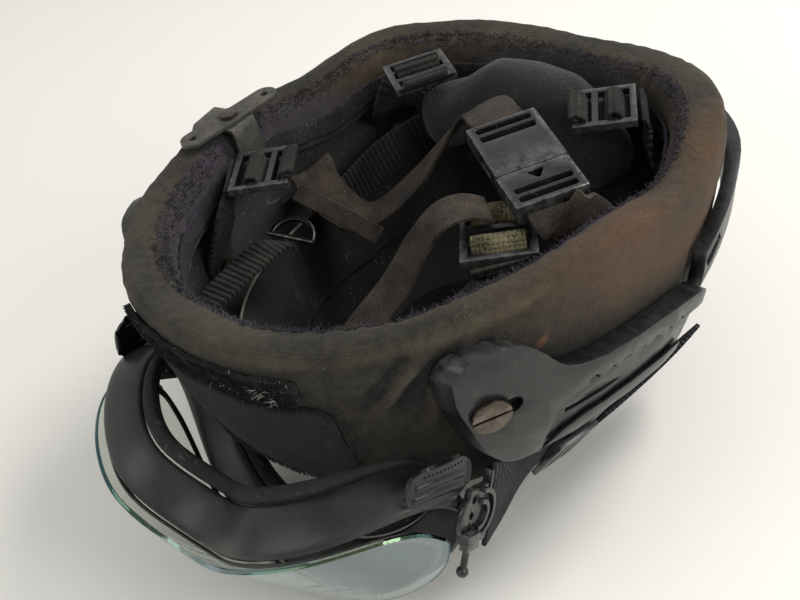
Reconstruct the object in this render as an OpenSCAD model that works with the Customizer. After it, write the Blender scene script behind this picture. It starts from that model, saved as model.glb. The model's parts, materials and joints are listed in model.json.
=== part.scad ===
// Ballistic helmet lying crown down, seen as it is stored: opening up, goggles strapped round the front.
// Frame: +X is the wearer's right, -Y the front, +Z up out of the opening.
// The origin is the middle of the small flat that the crown's cover rests on.

/* [Helmet] */
// Half of the cover's length, front to back
half_length = 139.5; // [130:0.5:150]
// Half of the cover's width, side to side
half_width = 120.5; // [112:0.5:130]
// Height of the front of the rim above the crown
rim_height = 160.3; // [150:0.1:170]
// How much wider the back is than the front, as a share
egg = 0.105; // [0.05:0.005:0.12]
// How deep the ear cut dips below the rim
ear_dip = 10.4; // [4:0.1:16]
// How far the rim falls towards the nape
nape_drop = 15.9; // [8:0.1:20]
// Wall of the ballistic shell
shell_wall = 8.5; // [6:0.1:10]
// Thickness of the fabric cover
cover_wall = 1.6; // [1.2:0.1:2]
// Clearance between neighbours that only lie on each other
seat = 0.3; // [0.2:0.05:0.4]

/* [Rim] */
// How far the rolled rim stands out past the side wall
roll_out = 3.5; // [2:0.1:5]
// Width of the rolled rim, from its ridge to its inner edge
roll_width = 23.7; // [20:0.1:27]
// Height of the rubber trim's legs
trim_height = 22.5; // [18:0.5:26]
// Width of the hem band inside the rim
hem_width = 11; // [8:0.5:14]

/* [Front patches] */
// Half width of the badge patch
badge_half = 56; // [45:1:62]
// Height of the badge patch
badge_height = 55; // [46:1:61]
// Distance of the badge patch's upper edge under the rim
badge_drop = 29.3; // [28.3:0.5:40.3]
// Half width of the loop strip
loop_half = 51; // [40:1:56]
// Height of the loop strip
loop_height = 15; // [10:0.5:16]
// Thickness of the loop strip's pile
loop_pile = 2.6; // [1.5:0.1:3.5]

/* [Rails] */
// Thickness of a rail over the cover
rail_thick = 10; // [8:0.5:12]
// Depth of the rail's lower face under its upper ledge
rail_step = 3.5; // [2:0.5:5]
// Number of teeth along the ledge
tooth_count = 7; // [4:1:8]
// Spacing of the teeth
tooth_pitch = 9.2; // [8:0.1:10]
// Radius of the scallop at each tooth
scallop_r = 3.1; // [2:0.1:3.6]
// Radius of the rail bolt's head
bolt_head_r = 8.6; // [7:0.1:10]
// Radius of the rail bolt's shank
bolt_shank_r = 3; // [2.5:0.1:4]

/* [Goggles] */
// Radius of the frame's front over its width
goggle_r = 108; // [100:1:116]
// Half of the frame's wrap, in degrees
goggle_wrap = 68; // [60:1:70]
// Height of the frame
goggle_height = 90; // [80:1:96]
// Depth of the nose notch
nose_depth = 24; // [18:1:30]
// Depth of the frame, front to back
frame_depth = 23; // [18:1:26]
// Wall of the frame
frame_wall = 6.5; // [4:0.5:9]
// Thickness of the lens
lens_wall = 2.2; // [1.5:0.1:3]
// How far the goggles lean out over the floor, in degrees
goggle_tilt = 33; // [30:1:36]
// Width of the elastic strap
strap_width = 38; // [30:1:40]
// Thickness of the elastic strap
strap_thick = 2.2; // [1.5:0.1:3]

/* [Webbing] */
// Width of the chin webbing
web_width = 25; // [20:1:28]
// Thickness of the webbing
web_thick = 1.8; // [1.2:0.1:2.4]
// Length of the side release buckle's socket
socket_length = 40; // [34:1:44]
// Width of the buckle
buckle_width = 33; // [30:1:36]
// Thickness of the buckle
buckle_thick = 9; // [7:0.5:11]

/* [Padding] */
// Thickness of the wall pads
pad_thick = 14; // [10:1:18]
// Thickness of the headband
band_thick = 2.6; // [2:0.2:4]
// Radius of the padded roll at the nape
nape_r = 19; // [15:1:20]

/* [Hidden] */

around = 48;                                   // stations round the helmet
plan_power = 2.4;                              // power of the plan's rounded oval
side_power = 2.4;                              // power of the dome's profile
flat_angle = 3.6;                              // dome angle at the edge of the crown's flat
ridge_length = half_length + roll_out;
dome_drop = rim_height / pow(cos(flat_angle), 2 / side_power);
dome_angles = [flat_angle, 10, 19, 29, 39, 49, 59, 69];
ear_angle = 104.5;                             // bearing of the ear cut from the front
ear_spread = 12.7;                             // half width of the ear cut, in degrees
shell_out = -(cover_wall + seat + 0.1);        // offset of the shell's outer face from the cover's
shell_in = shell_out - shell_wall;             // offset of the shell's inner face
chord = 0.8;                                   // allowance for the flats of neighbours' facets
liner = shell_in - seat - chord;               // offset at which the padding starts
roll_in = roll_out - roll_width;               // offset of the rolled rim's inner edge
pad_face = liner - pad_thick;                  // offset of the wall pads' faces

// Cross-section of the rolled rim's outer face: offset, then height from the top of the rim
roll_face = [[0, -34], [0.23 * roll_out, -26], [0.75 * roll_out, -18], [roll_out, -10],
  [0.9 * roll_out, -5.5], [0.45 * roll_out, -1.8], [roll_out - 6, 0], [roll_out - 13.5, -0.3],
  [roll_in + 4.7, -2.6], [roll_in + 1.2, -8], [roll_in, -16], [roll_in + 0.6, -25],
  [roll_in + 1.4, -31]];
// The same line turned inward by a depth, for the cover's inner face and the trim
roll_turn = [[1, 0], [1, 0], [1, 0], [1, 0], [1, 0.45], [0.7, 0.75], [0.2, 1], [-0.15, 1],
  [-0.65, 0.85], [-0.9, 0.5], [-1, 0], [-1, 0], [-1, 0]];

function signed_power(v, e) = sign(v) * pow(abs(v), e);
function lean(y) = 1 + egg * y / ridge_length;
function plan(th, d) = let (y = -(half_length + d) * signed_power(cos(th), 2 / plan_power))
  [(half_width + d) * signed_power(sin(th), 2 / plan_power) * lean(y), y];
function turned(th) = abs(th - 360 * round(th / 360));
function rim_z(th) = rim_height - ear_dip * exp(-pow((turned(th) - ear_angle) / ear_spread, 2))
  - nape_drop * max(0, (turned(th) - 90) / 90);
function spread(z, d) = let (c = max(0, (rim_height - z) / (dome_drop + d)))
  pow(max(0, 1 - pow(c, side_power)), 1 / side_power);
function wall_point(th, z, d) = let (p = plan(th, d), s = spread(z, d)) [p.x * s, p.y * s, z];
function dome_z(angle, d) = rim_height - (dome_drop + d) * pow(cos(angle), 2 / side_power);
function cover_d(z, th) = lookup(z - rim_z(th), [for (p = roll_face) if (p.y <= -5.5 &&
  p.x >= 0) [p.y, p.x]]);
function middle(list) = [for (p = list) 1 / len(list)] * list;
function unit(v) = v / norm(v);
function outward(th, z) = unit(cross(wall_point(th + 1, z, 0) - wall_point(th - 1, z, 0),
  wall_point(th, z + 1, 0) - wall_point(th, z - 1, 0)));

// Closed mesh through rings of equal length, which run clockwise seen along the way they follow
module loft(rings, closed = false) {
  n = len(rings[0]);
  m = len(rings);
  ends = closed ? [] : [middle(rings[0]), middle(rings[m - 1])];
  points = concat([for (ring = rings) for (p = ring) p], ends);
  sides = [for (j = [0 : m - (closed ? 1 : 2)]) for (i = [0 : n - 1])
    let (a = j * n + i, b = ((j + 1) % m) * n + i, c = ((j + 1) % m) * n + (i + 1) % n,
      d = j * n + (i + 1) % n) each [[a, b, c], [a, c, d]]];
  caps = closed ? [] : [for (i = [0 : n - 1]) each [[m * n, i, (i + 1) % n],
    [m * n + 1, (m - 1) * n + (i + 1) % n, (m - 1) * n + i]]];
  polyhedron(points, concat(sides, caps));
}

// Points of a rule through hand-set stations
function bend(p, i, t) = let (n = len(p) - 1, a = p[max(0, i - 1)], b = p[i], c = p[min(n, i + 1)],
  d = p[min(n, i + 2)])
  0.5 * (2 * b + (c - a) * t + (2 * a - 5 * b + 4 * c - d) * t * t
    + (3 * b - a - 3 * c + d) * t * t * t);
function smooth(p, steps) = [for (i = [0 : len(p) - 2]) for (k = [0 : steps - 1])
  bend(p, i, k / steps), p[len(p) - 1]];

// Flat webbing: stations hold a point and the way across the webbing
module ribbon(stations, width, thick, steps = 4) {
  centre = smooth([for (s = stations) s[0]], steps);
  across = smooth([for (s = stations) s[1]], steps);
  last = len(centre) - 1;
  loft([for (i = [0 : last]) let (t = unit(centre[min(last, i + 1)] - centre[max(0, i - 1)]),
    w = unit(across[i] - t * (across[i] * t)), n = cross(w, t))
    [for (c = [[-1, 1], [1, 1], [1, -1], [-1, -1]])
      centre[i] + w * c.x * width / 2 + n * c.y * thick / 2]]);
}

// Band that follows the helmet's wall: heights and offsets are lists, one value for each bearing
module wall_band(bearings, low, high, near, far, rows = 3) {
  loft([for (i = [0 : len(bearings) - 1]) let (th = bearings[i]) concat(
    [for (k = [0 : rows]) wall_point(th, low[i] + (high[i] - low[i]) * k / rows, near[i])],
    [for (k = [rows : -1 : 0]) wall_point(th, low[i] + (high[i] - low[i]) * k / rows, far[i])])]);
}

// Cushion on the inner wall with a crowned face and drawn-in sides
module wall_cushion(from, to, low, high, thick) {
  stations = 12;
  section = [for (k = [0 : 15]) let (a = k * 22.5)
    [signed_power(cos(a), 0.5), signed_power(sin(a), 0.7)]];
  loft([for (i = [0 : stations]) let (u = 2 * i / stations - 1,
    th = from + (to - from) * i / stations, swell = pow(max(0.02, 1 - pow(abs(u), 5)), 0.5),
    tall = (high - low) / 2 * (0.55 + 0.45 * swell))
    [for (c = section) wall_point(th, (low + high) / 2 - tall * c.x,
      liner - thick / 2 * (0.25 + 0.75 * swell) * (1 + c.y))]]);
}

// Places children with their X along one way and their Z as near as can be to another
module place(at, along, up) {
  x = unit(along);
  y = unit(cross(up, x));
  z = cross(x, y);
  multmatrix([[x.x, y.x, z.x, at.x], [x.y, y.y, z.y, at.y], [x.z, y.z, z.z, at.z], [0, 0, 0, 1]])
    children();
}

function level_ring(z, d) = [for (i = [0 : around - 1]) wall_point(i * 360 / around, z, d)];
function rim_ring(h, d) = [for (i = [0 : around - 1]) let (th = i * 360 / around)
  wall_point(th, rim_z(th) + h, d)];
function dome_rings(d) = [for (a = dome_angles) level_ring(dome_z(a, d), d)];
function reversed(list) = [for (i = [len(list) - 1 : -1 : 0]) list[i]];
function inset(k, t) = [roll_face[k].x - roll_turn[k].x * t, roll_face[k].y - roll_turn[k].y * t];
function spaced(from, to, count) = [for (i = [0 : count]) from + (to - from) * i / count];
function ones(list, value) = [for (v = list) value];
// Bearing at which the wall at height z lies at the given distance front to back
function bearing_of_y(y, z) = let (s = spread(z, 0), c = pow(min(1, abs(y) / (half_length * s)),
  plan_power / 2)) y < 0 ? acos(c) : 180 - acos(c);
// Bearing at which the front wall lies at the given distance to the side
function bearing_of_x(x, z) = let (w = half_width * spread(z, 0) * (1 - 0.9 * egg))
  asin(pow(x / w, plan_power / 2));

shell_top = -13.5;                             // shell's edge under the top of the rim

module ballistic_shell() {
  color("dimgray") loft(concat(dome_rings(shell_out),
    [rim_ring(-34, shell_out), rim_ring(shell_top, shell_out), rim_ring(shell_top, shell_in),
      rim_ring(-34, shell_in)],
    reversed(dome_rings(shell_in))));
}

module fabric_cover() {
  color("darkolivegreen") loft(concat(dome_rings(0), [for (p = roll_face) rim_ring(p.y, p.x)],
    [for (k = [len(roll_face) - 1 : -2 : 0]) let (p = inset(k, cover_wall)) rim_ring(p.y, p.x)],
    reversed(dome_rings(-cover_wall))));
}

module edge_trim() {
  skin = cover_wall + seat;
  low = -trim_height;
  outer_d = lookup(low, [[roll_face[1].y, roll_face[1].x], [roll_face[2].y, roll_face[2].x]]) - skin;
  inner_d = lookup(low, [[roll_face[11].y, roll_face[11].x], [roll_face[10].y, roll_face[10].x]])
    + skin;
  loop = concat([[outer_d, low]], [for (k = [2 : 2 : 10]) inset(k, skin)],
    [[inner_d, low], [shell_in - seat, low], [shell_in - seat, shell_top + seat],
      [shell_out + seat, shell_top + seat], [shell_out + seat, low]]);
  color("black") loft([for (p = loop) rim_ring(p.y, p.x)], closed = true);
}

module cover_hem() {
  top = -15;
  hem_thick = 1.2;
  rows = [for (h = [top, top - hem_width / 2, top - hem_width]) [lookup(h,
    [for (k = [10 : 12]) [roll_face[k].y, roll_face[k].x]]) - seat, h]];
  loop = concat([for (r = rows) [r.x - hem_thick, r.y]], [for (r = reversed(rows)) r]);
  color("slategray") loft([for (p = loop) rim_ring(p.y, p.x)], closed = true);
}

// Piece lying on the cover between two heights, given for each bearing
module applique(bearings, low, high, gap, thick, rows = 4) {
  loft([for (i = [0 : len(bearings) - 1]) let (th = bearings[i],
    zs = [for (k = [0 : rows]) low[i] + (high[i] - low[i]) * k / rows]) concat(
      [for (z = zs) wall_point(th, z, cover_d(z, th) + gap[i])],
      [for (z = reversed(zs)) wall_point(th, z, cover_d(z, th) + gap[i] + thick[i])])]);
}

// Share by which a patch with round corners draws in at a place from -1 to 1 along it
function corner_cut(u, r, half) = let (k = max(0, abs(u) * half - (half - r)) / r)
  r * (1 - sqrt(max(0, 1 - k * k)));

module front_patch(half, low, high, thick, corner) {
  turn = bearing_of_x(half, (low + high) / 2);
  u = [-0.995, -0.93, -0.8, -0.55, -0.27, 0, 0.27, 0.55, 0.8, 0.93, 0.995];
  applique([for (v = u) v * turn], [for (v = u) low + corner_cut(v, corner, half)],
    [for (v = u) high - corner_cut(v, corner, half)], ones(u, seat), ones(u, thick));
}

badge_high = rim_height - badge_drop;

module badge_patch() {
  patch_thick = 2;
  patch_corner = 9;
  low = badge_high - badge_height;
  color("black") front_patch(badge_half, low, badge_high, patch_thick, patch_corner);
}

module loop_strip() {
  gap = 4;
  strip_corner = 2;
  color([0.07, 0.07, 0.06]) front_patch(loop_half, badge_high + gap,
    badge_high + gap + loop_height, loop_pile, strip_corner);
}

// Rails: side outline as distance from front to back, then height
rail_outline = [[-99, 141], [-97, 146], [-92, 149.5], [-80, 149.5], [-71, 145], [-63, 135],
  [-56, 124.5], [-47, 117.5], [-32, 112], [-17, 109], [-3, 106.5], [11, 103.5], [27, 99.5],
  [36, 96.5], [38, 92], [34, 76], [29, 63], [22, 58.5], [10, 60], [-8, 63.5], [-26, 67],
  [-42, 67.5], [-52, 71], [-62, 74], [-72, 75.5], [-80, 80], [-88, 93], [-94, 112], [-98, 128]];
// Lower face of the rail, set back under the ledge and the head's raised edge
rail_field = [[-58, 99], [-50, 101.5], [-38, 101], [-20, 99], [0, 95.5], [18, 91.5], [40, 86],
  [50, 54], [10, 53], [-40, 54], [-66, 60], [-62, 84]];
ledge_start = [-37, 103.5];                    // first tooth on the ledge's outer edge
ledge_end = [16, 94];                          // the edge's far end, which sets its slope
bolt_place = [-81, 117];                       // rail bolt, front to back and height
rail_gap = seat + chord;                       // rail's back over the cover
slot_length = 10;                              // how far the slot runs on behind the bolt
groove_width = 3;
groove_lines = [[-48, 91], [-50, 80]];         // starts of the two long grooves
groove_length = 72;

module side_sheet(gap, thick, from_y = -112, to_y = 60) {
  bearings = spaced(bearing_of_y(from_y, 110), bearing_of_y(to_y, 110), 12);
  applique(bearings, ones(bearings, 50), ones(bearings, 152), ones(bearings, gap),
    ones(bearings, thick), rows = 7);
}

module side_cut(outline) {
  depth = half_width + 60;
  rotate([90, 0, 90]) linear_extrude(depth) polygon(outline);
}

function ledge_point(k) = ledge_start + (ledge_end - ledge_start) / norm(ledge_end - ledge_start)
  * k * tooth_pitch;
function on_side(place, gap) = let (th = bearing_of_y(place.x, place.y))
  wall_point(th, place.y, cover_d(place.y, th) + gap);

// Children stand on the side wall with Z outward and X to the back
module at_side(place, gap) {
  th = bearing_of_y(place.x, place.y);
  n = outward(th, place.y);
  place(on_side(place, 0), cross([0, 0, 1], n), n) translate([0, 0, gap]) children();
}

module slot_shape(length, r, depth) {
  cylinder(h = depth, r = r, $fn = 32);
  translate([length, 0, 0]) cylinder(h = depth, r = r, $fn = 32);
  translate([0, -r, 0]) cube([length, 2 * r, depth]);
}

head_sink = 1.6;                               // how deep the bolt's head sits in the rail

module rail_right() {
  cut_high = 30;
  color([0.1, 0.1, 0.1]) difference() {
    intersection() {
      side_sheet(rail_gap, rail_thick);
      side_cut(smooth(concat(rail_outline, [rail_outline[0]]), 2));
    }
    intersection() {
      side_sheet(rail_gap + rail_thick - rail_step, rail_step + 12);
      side_cut(rail_field);
    }
    for (k = [0 : tooth_count - 1])
      at_side(ledge_point(k), rail_thick - 5) cylinder(h = cut_high, r = scallop_r, $fn = 24);
    for (g = groove_lines)
      at_side(g, rail_thick - rail_step - 2) rotate(-10) translate([0, -groove_width / 2, 0])
        cube([groove_length, groove_width, cut_high]);
    at_side(bolt_place, rail_gap + rail_thick - head_sink)
      cylinder(h = cut_high, r = bolt_head_r + seat, $fn = 48);
    at_side(bolt_place, rail_gap + rail_thick - 5)
      slot_shape(slot_length, bolt_head_r / 2, cut_high);
    at_side(bolt_place, -cut_high) cylinder(h = 2 * cut_high, r = bolt_shank_r + seat, $fn = 32);
  }
}

module rail_left() {
  mirror([1, 0, 0]) rail_right();
}

// Slider that fills the lower face of the rail, with its point to the front
blade_outline = [[-61, 72.5], [-50, 78.5], [-38, 79.5], [-20, 77], [0, 73.5], [20, 69.5],
  [28, 67.5], [26, 62.5], [20, 61.5], [0, 65], [-26, 69.5], [-42, 70], [-52, 71.5]];

module rail_blade_right() {
  blade_thick = 1.8;
  color([0.16, 0.16, 0.16]) intersection() {
    side_sheet(rail_gap + rail_thick - rail_step + seat, blade_thick);
    side_cut(blade_outline);
  }
}

module rail_blade_left() {
  mirror([1, 0, 0]) rail_blade_right();
}

// Arm that carries the rail round to the back, with its window
tail_thick = 6;
tail_from = bearing_of_y(38.5, 98);
tail_to = 150;

module rail_tail_right() {
  bearings = spaced(tail_from + 0.5, tail_to, 12);
  rise = [for (th = bearings) let (u = (th - tail_from) / (tail_to - tail_from))
    101 + 20 * sin(90 * min(1, 1.6 * u))];
  half = [for (th = bearings) let (u = (th - tail_from) / (tail_to - tail_from)) 10 - 3 * u];
  color([0.12, 0.12, 0.12]) difference() {
    applique(bearings, rise - half, rise + half, ones(bearings, rail_gap),
      ones(bearings, tail_thick));
    at_side([50, 107], -20) rotate(28) translate([-7, -3.5, 0]) cube([15, 7, 40]);
  }
}

module rail_tail_left() {
  mirror([1, 0, 0]) rail_tail_right();
}

module rail_bolt(head_gap, shank) {
  head_high = 2.6;
  slot_wide = 1.6;
  translate([0, 0, head_gap]) difference() {
    union() {
      cylinder(h = head_high, r = bolt_head_r, $fn = 48);
      translate([0, 0, -shank]) cylinder(h = shank + 1, r = bolt_shank_r, $fn = 32);
    }
    translate([-bolt_head_r - 1, -slot_wide / 2, head_high - 1.3]) cube([2 * bolt_head_r + 2, slot_wide, 2]);
  }
}

module rail_bolts() {
  color([0.42, 0.36, 0.32]) for (side = [0, 1]) mirror([side, 0, 0])
    at_side(bolt_place, 0) rail_bolt(rail_gap + rail_thick - head_sink + seat, rail_thick - 2);
}

// Goggles: a point at a bearing round the face, a height up the frame and a distance from its axis
goggle_lead = 4.167;                           // frame's front plane on the floor, behind the cover's front
goggle_floor = 3.85;                           // height of the frame's lower edge over the floor
goggle_front = (half_length - goggle_lead) * cos(goggle_tilt);
goggle_axis = goggle_front - goggle_r;         // distance of the wrap's axis in front of the origin
brow_edge = (goggle_floor + goggle_front * sin(goggle_tilt)) / cos(goggle_tilt);
goggle_mid = brow_edge + goggle_height / 2;
frame_rows = 56;
lens_rib = 1.8;                                // height of the rib that the lens lies on
lens_share = 0.88;                             // how far the lens reaches round, of the frame's wrap
function goggle_point(a, h, r) = let (f = goggle_axis + r * cos(a))
  [r * sin(a), -h * sin(goggle_tilt) - f * cos(goggle_tilt),
    h * cos(goggle_tilt) - f * sin(goggle_tilt)];
// Outline of the frame drawn in by a margin, as bearing and height
function goggle_outline(turn, margin) = let (a = (goggle_wrap - margin * 60 / goggle_r)
    * signed_power(cos(turn), 0.6), h = (goggle_height / 2 - margin) * signed_power(sin(turn), 0.75))
  [a, goggle_mid + h + (h > 0 ? -nose_depth * exp(-pow(a / 13, 2)) : 9 * pow(a / goggle_wrap, 2))
    * min(1, abs(h) / 20)];
function goggle_ring(margin, r, reach = 1) = [for (i = [0 : frame_rows - 1])
  let (p = goggle_outline(i * 360 / frame_rows, margin)) goggle_point(p.x * reach, p.y, r)];
function goggle_fill(share, margin, r) = [for (i = [0 : frame_rows - 1])
  let (p = goggle_outline(i * 360 / frame_rows, margin))
    goggle_point(p.x * share * lens_share, goggle_mid - 6 + (p.y - goggle_mid + 6) * share, r)];

module goggle_frame() {
  front = goggle_r;
  back = goggle_r - frame_depth;
  lip = 2;
  color([0.13, 0.14, 0.13]) loft([goggle_ring(frame_wall - 2, front),
    goggle_ring(frame_wall, front - 5), goggle_ring(frame_wall, back + 4),
    goggle_ring(frame_wall - 1, back), goggle_ring(lip, back), goggle_ring(0, back + 5),
    goggle_ring(0, front - lip), goggle_ring(lip, front)], closed = true);
}

module lens_retainer() {
  gap = seat;
  color("black") loft([goggle_ring(frame_wall + 1, goggle_r + gap + lens_rib, lens_share),
    goggle_ring(frame_wall + 1, goggle_r + gap, lens_share),
    goggle_ring(3, goggle_r + gap, lens_share),
    goggle_ring(3.5, goggle_r + gap + lens_rib, lens_share)], closed = true);
}

module goggle_lens() {
  back = goggle_r + lens_rib + seat + 1;
  front = back + lens_wall;
  shares = [1, 0.8, 0.55, 0.3, 0.06];
  color([0.75, 0.85, 0.8, 0.5]) loft(concat([for (s = reversed(shares)) goggle_fill(s, -1, back)],
    [for (s = shares) goggle_fill(s, -1, front)]));
}

module face_foam() {
  foam_thick = 8;
  foam_wall = 9;
  near = goggle_r - frame_depth - seat;
  thin = [for (i = [0 : frame_rows - 1]) let (p = goggle_outline(i * 360 / frame_rows, 1))
    foam_thick * (1 - 0.8 * pow(abs(p.x) / goggle_wrap, 5))];
  function row(margin, share) = [for (i = [0 : frame_rows - 1])
    let (p = goggle_outline(i * 360 / frame_rows, margin))
      goggle_point(p.x, p.y, near - thin[i] * share)];
  color("black") loft([row(foam_wall, 0), row(foam_wall, 0.8), row(foam_wall - 2, 1),
    row(3, 1), row(1.5, 0.8), row(1, 0)], closed = true);
}

// Outriggers: rounded plates on the frame's ends that carry the strap
hinge_place = goggle_point(goggle_wrap - 3, goggle_mid, goggle_r);
outrigger_gap = 2.2;                           // how far the plate stands off the frame's end
outrigger_length = 22;
outrigger_height = 32;
outrigger_way = unit([-0.14, 0.84, -0.52]);

module on_hinge(gap) {
  place(hinge_place + [gap, 0, 0], outrigger_way, [1, 0, 0]) children();
}

module outrigger_right() {
  thick = 3;
  rib = 2.2;
  color([0.05, 0.05, 0.05]) on_hinge(outrigger_gap) {
    difference() {
      union() {
        translate([0, -outrigger_height / 2 + 4, 0])
          cube([outrigger_length - 8, outrigger_height - 8, thick]);
        translate([outrigger_length - 14, 0, 0])
          cylinder(h = thick, r = outrigger_height / 2 - 4, $fn = 48);
        for (r = [6, 11]) translate([outrigger_length - 14, 0, thick]) intersection() {
          difference() {
            cylinder(h = rib, r = r + 1, $fn = 48);
            translate([0, 0, -1]) cylinder(h = rib + 2, r = r - 1, $fn = 48);
          }
          translate([0, -20, -1]) cube([20, 40, rib + 2]);
        }
      }
      for (y = [-7, 0, 7]) translate([4, y, -1]) cylinder(h = thick + 2, r = 1.6, $fn = 24);
    }
    translate([outrigger_length - 4, -outrigger_height / 2, -2])
      cube([4, outrigger_height, thick + 1]);
  }
}

module outrigger_left() {
  mirror([1, 0, 0]) outrigger_right();
}

module latch_lever_right() {
  arm = 13;
  color([0.08, 0.08, 0.08]) on_hinge(outrigger_gap + 3 + seat)
    translate([2, -outrigger_height / 2 + 6, 0]) {
    translate([-4, -3, 0]) cube([9, 7, 4]);
    translate([-1, -arm, 2]) rotate([-90, 0, 0]) cylinder(h = arm, r = 1.5, $fn = 24);
    translate([-1, -arm, 2]) sphere(r = 2.6, $fn = 24);
  }
}

module latch_lever_left() {
  mirror([1, 0, 0]) latch_lever_right();
}

// Strap of the goggles: straight from the outriggers to the wall, then round the back
strap_gap = seat + chord;
strap_meet = bearing_of_y(-42, 45);            // bearing at which the strap meets the wall
bar_lean = unit(cross([1, 0, 0], outrigger_way));
strap_end = hinge_place + [outrigger_gap, 0, 0] + outrigger_way * (outrigger_length + seat);
function strap_z(th) = 38 + 5 * exp(-pow((turned(th) - strap_meet) / 12, 2))
  + 14 * max(0, (turned(th) - 100) / 80);
function strap_ring(th) = let (z = strap_z(th), h = strap_width / 2, t = strap_thick + strap_gap)
  concat([for (k = [-1, 0, 1]) wall_point(th, z + h * k, strap_gap)],
    [for (k = [1, 0, -1]) wall_point(th, z + h * k, t)]);
function strap_lead(side) = [for (c = [[-1, 0], [0, 0], [1, 0], [1, 1], [0, 1], [-1, 1]])
  [side * (strap_end.x + strap_thick * c.y), strap_end.y + bar_lean.y * 13 * c.x,
    strap_end.z + bar_lean.z * 13 * c.x]];

module goggle_strap() {
  bearings = spaced(strap_meet, 360 - strap_meet, 44);
  color([0.08, 0.07, 0.1]) loft(concat([strap_lead(1)], [for (b = bearings) strap_ring(b)],
    [strap_lead(-1)]));
}

// Free end of the strap, behind its slider and standing off the strap
slider_bearing = 76;
slider_gap = strap_gap + strap_thick + seat;
slider_thick = 3;

module strap_tail() {
  bearings = spaced(slider_bearing + 8, slider_bearing + 38, 8);
  flare = [for (i = [0 : 8]) slider_gap + chord / 2 + 5 * pow(i / 8, 2)];
  color([0.1, 0.08, 0.12]) applique(bearings, [for (b = bearings) strap_z(b) - strap_width / 2 + 2],
    [for (b = bearings) strap_z(b) + strap_width / 2 - 1], flare, ones(bearings, strap_thick),
    rows = 2);
}

module strap_slider() {
  height = strap_width + 10;
  length = 22;
  bar = 4.5;
  slot = (length - 3 * bar) / 2;
  th = slider_bearing;
  z = strap_z(th);
  n = outward(th, z);
  color([0.15, 0.15, 0.15]) place(wall_point(th, z, slider_gap + 0.5), cross([0, 0, 1], n), n)
    difference() {
      translate([-length / 2, -height / 2, 0]) cube([length, height, slider_thick]);
      for (s = [-1, 1]) translate([s * (slot + bar) / 2 - slot / 2, -strap_width / 2 - 1, -1])
        cube([slot, strap_width + 2, slider_thick + 2]);
    }
}

// Metal clip of the visor, hooked over the left rim
clip_bearing = -84;
clip_width = 17;
clip_thick = 1.8;
clip_out = roll_out + seat;
clip_in = roll_in - seat - 1.6;
clip_hole_r = 3;

module on_rim(th) {
  p = wall_point(th, rim_z(th), 0);
  n = unit([outward(th, 120).x, outward(th, 120).y, 0]);
  place(p, n, [0, 0, 1]) children();
}

module brim_clip_hook() {
  r = clip_thick;
  top = seat + 0.4;
  color([0.5, 0.5, 0.46]) on_rim(clip_bearing) rotate([90, 0, 0]) difference() {
    translate([0, 0, -clip_width / 2]) linear_extrude(clip_width) polygon([
      [clip_out + 1, -20], [clip_out + 1 + r, -20], [clip_out + 1 + r, -3], [clip_out - 1, top + r],
      [clip_in - 1, top + r], [clip_in - r, top - 3], [clip_in - r, -26], [clip_in, -26],
      [clip_in, top - 2.4], [clip_in + 1, top], [clip_out - 2.4, top], [clip_out + 1, -3.6]]);
    translate([(clip_in + clip_out) / 2, 0, 0]) rotate([90, 0, 0])
      cylinder(h = 20, r = clip_hole_r, center = true, $fn = 32);
  }
}

module brim_clip_plate() {
  length = 46;
  width = 13;
  thick = 2.2;
  color([0.36, 0.4, 0.36]) on_rim(clip_bearing) translate([clip_in + 7, 0, seat * 2 + 0.4 + clip_thick])
    rotate([0, 0, -14]) difference() {
      union() {
        translate([-width / 2, -length / 2, 0]) cube([width, length, thick]);
        for (s = [-1, 1]) translate([0, s * length / 2, 0])
          cylinder(h = thick, r = width / 2, $fn = 48);
      }
      for (s = [-1, 1]) translate([0, s * length / 2, -1])
        cylinder(h = thick + 2, r = 2, $fn = 24);
      translate([0, 0, -1]) cylinder(h = thick + 2, r = clip_hole_r + 0.2, $fn = 32);
    }
}

module brim_clip_rivet() {
  color([0.35, 0.3, 0.25]) on_rim(clip_bearing)
    translate([clip_in + 7, 0, seat * 3 + 0.4 + clip_thick + 2.2]) {
      cylinder(h = 1.6, r = 4.6, $fn = 32);
      translate([0, 0, -2.8]) cylinder(h = 3, r = clip_hole_r - 0.1, $fn = 32);
    }
}

// Padding inside the shell
pad_low = 36;
pad_high = 88;

module crown_pad() {
  angles = [6, 13, 20, 27];
  rise = 8.6;
  under = [for (a = angles) level_ring(dome_z(a, liner), liner)];
  over = [[1, 0.35], [0.93, 0.75], [0.72, 0.97], [0.35, 1]];
  color([0.14, 0.14, 0.15]) loft(concat(under,
    [for (k = over) [for (p = under[3]) [p.x * k.x, p.y * k.x, p.z + rise * k.y]]]));
}

module front_pad() {
  color([0.25, 0.28, 0.33]) wall_cushion(-32, 32, pad_low, pad_high, pad_thick);
}

module side_pad_right() {
  color([0.16, 0.16, 0.17]) wall_cushion(52, 118, pad_low, pad_high, pad_thick);
}

module side_pad_left() {
  mirror([1, 0, 0]) side_pad_right();
}

module rear_pad() {
  color([0.16, 0.16, 0.17]) wall_cushion(142, 218, pad_low, pad_high + 10, pad_thick);
}

module headband() {
  low = 60;
  high = 96;
  bearings = spaced(-134, 134, 36);
  far = liner - pad_thick - seat;
  color([0.12, 0.12, 0.12]) wall_band(bearings, ones(bearings, low), ones(bearings, high),
    ones(bearings, far - band_thick), ones(bearings, far), rows = 2);
}

nape_path = [[-63, 68, 117], [-42, 87, 120], [-8, 94, 122], [28, 91, 120], [62, 73, 115]];
nape_rise = 1.04;                              // height of the roll's section over its depth

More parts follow.
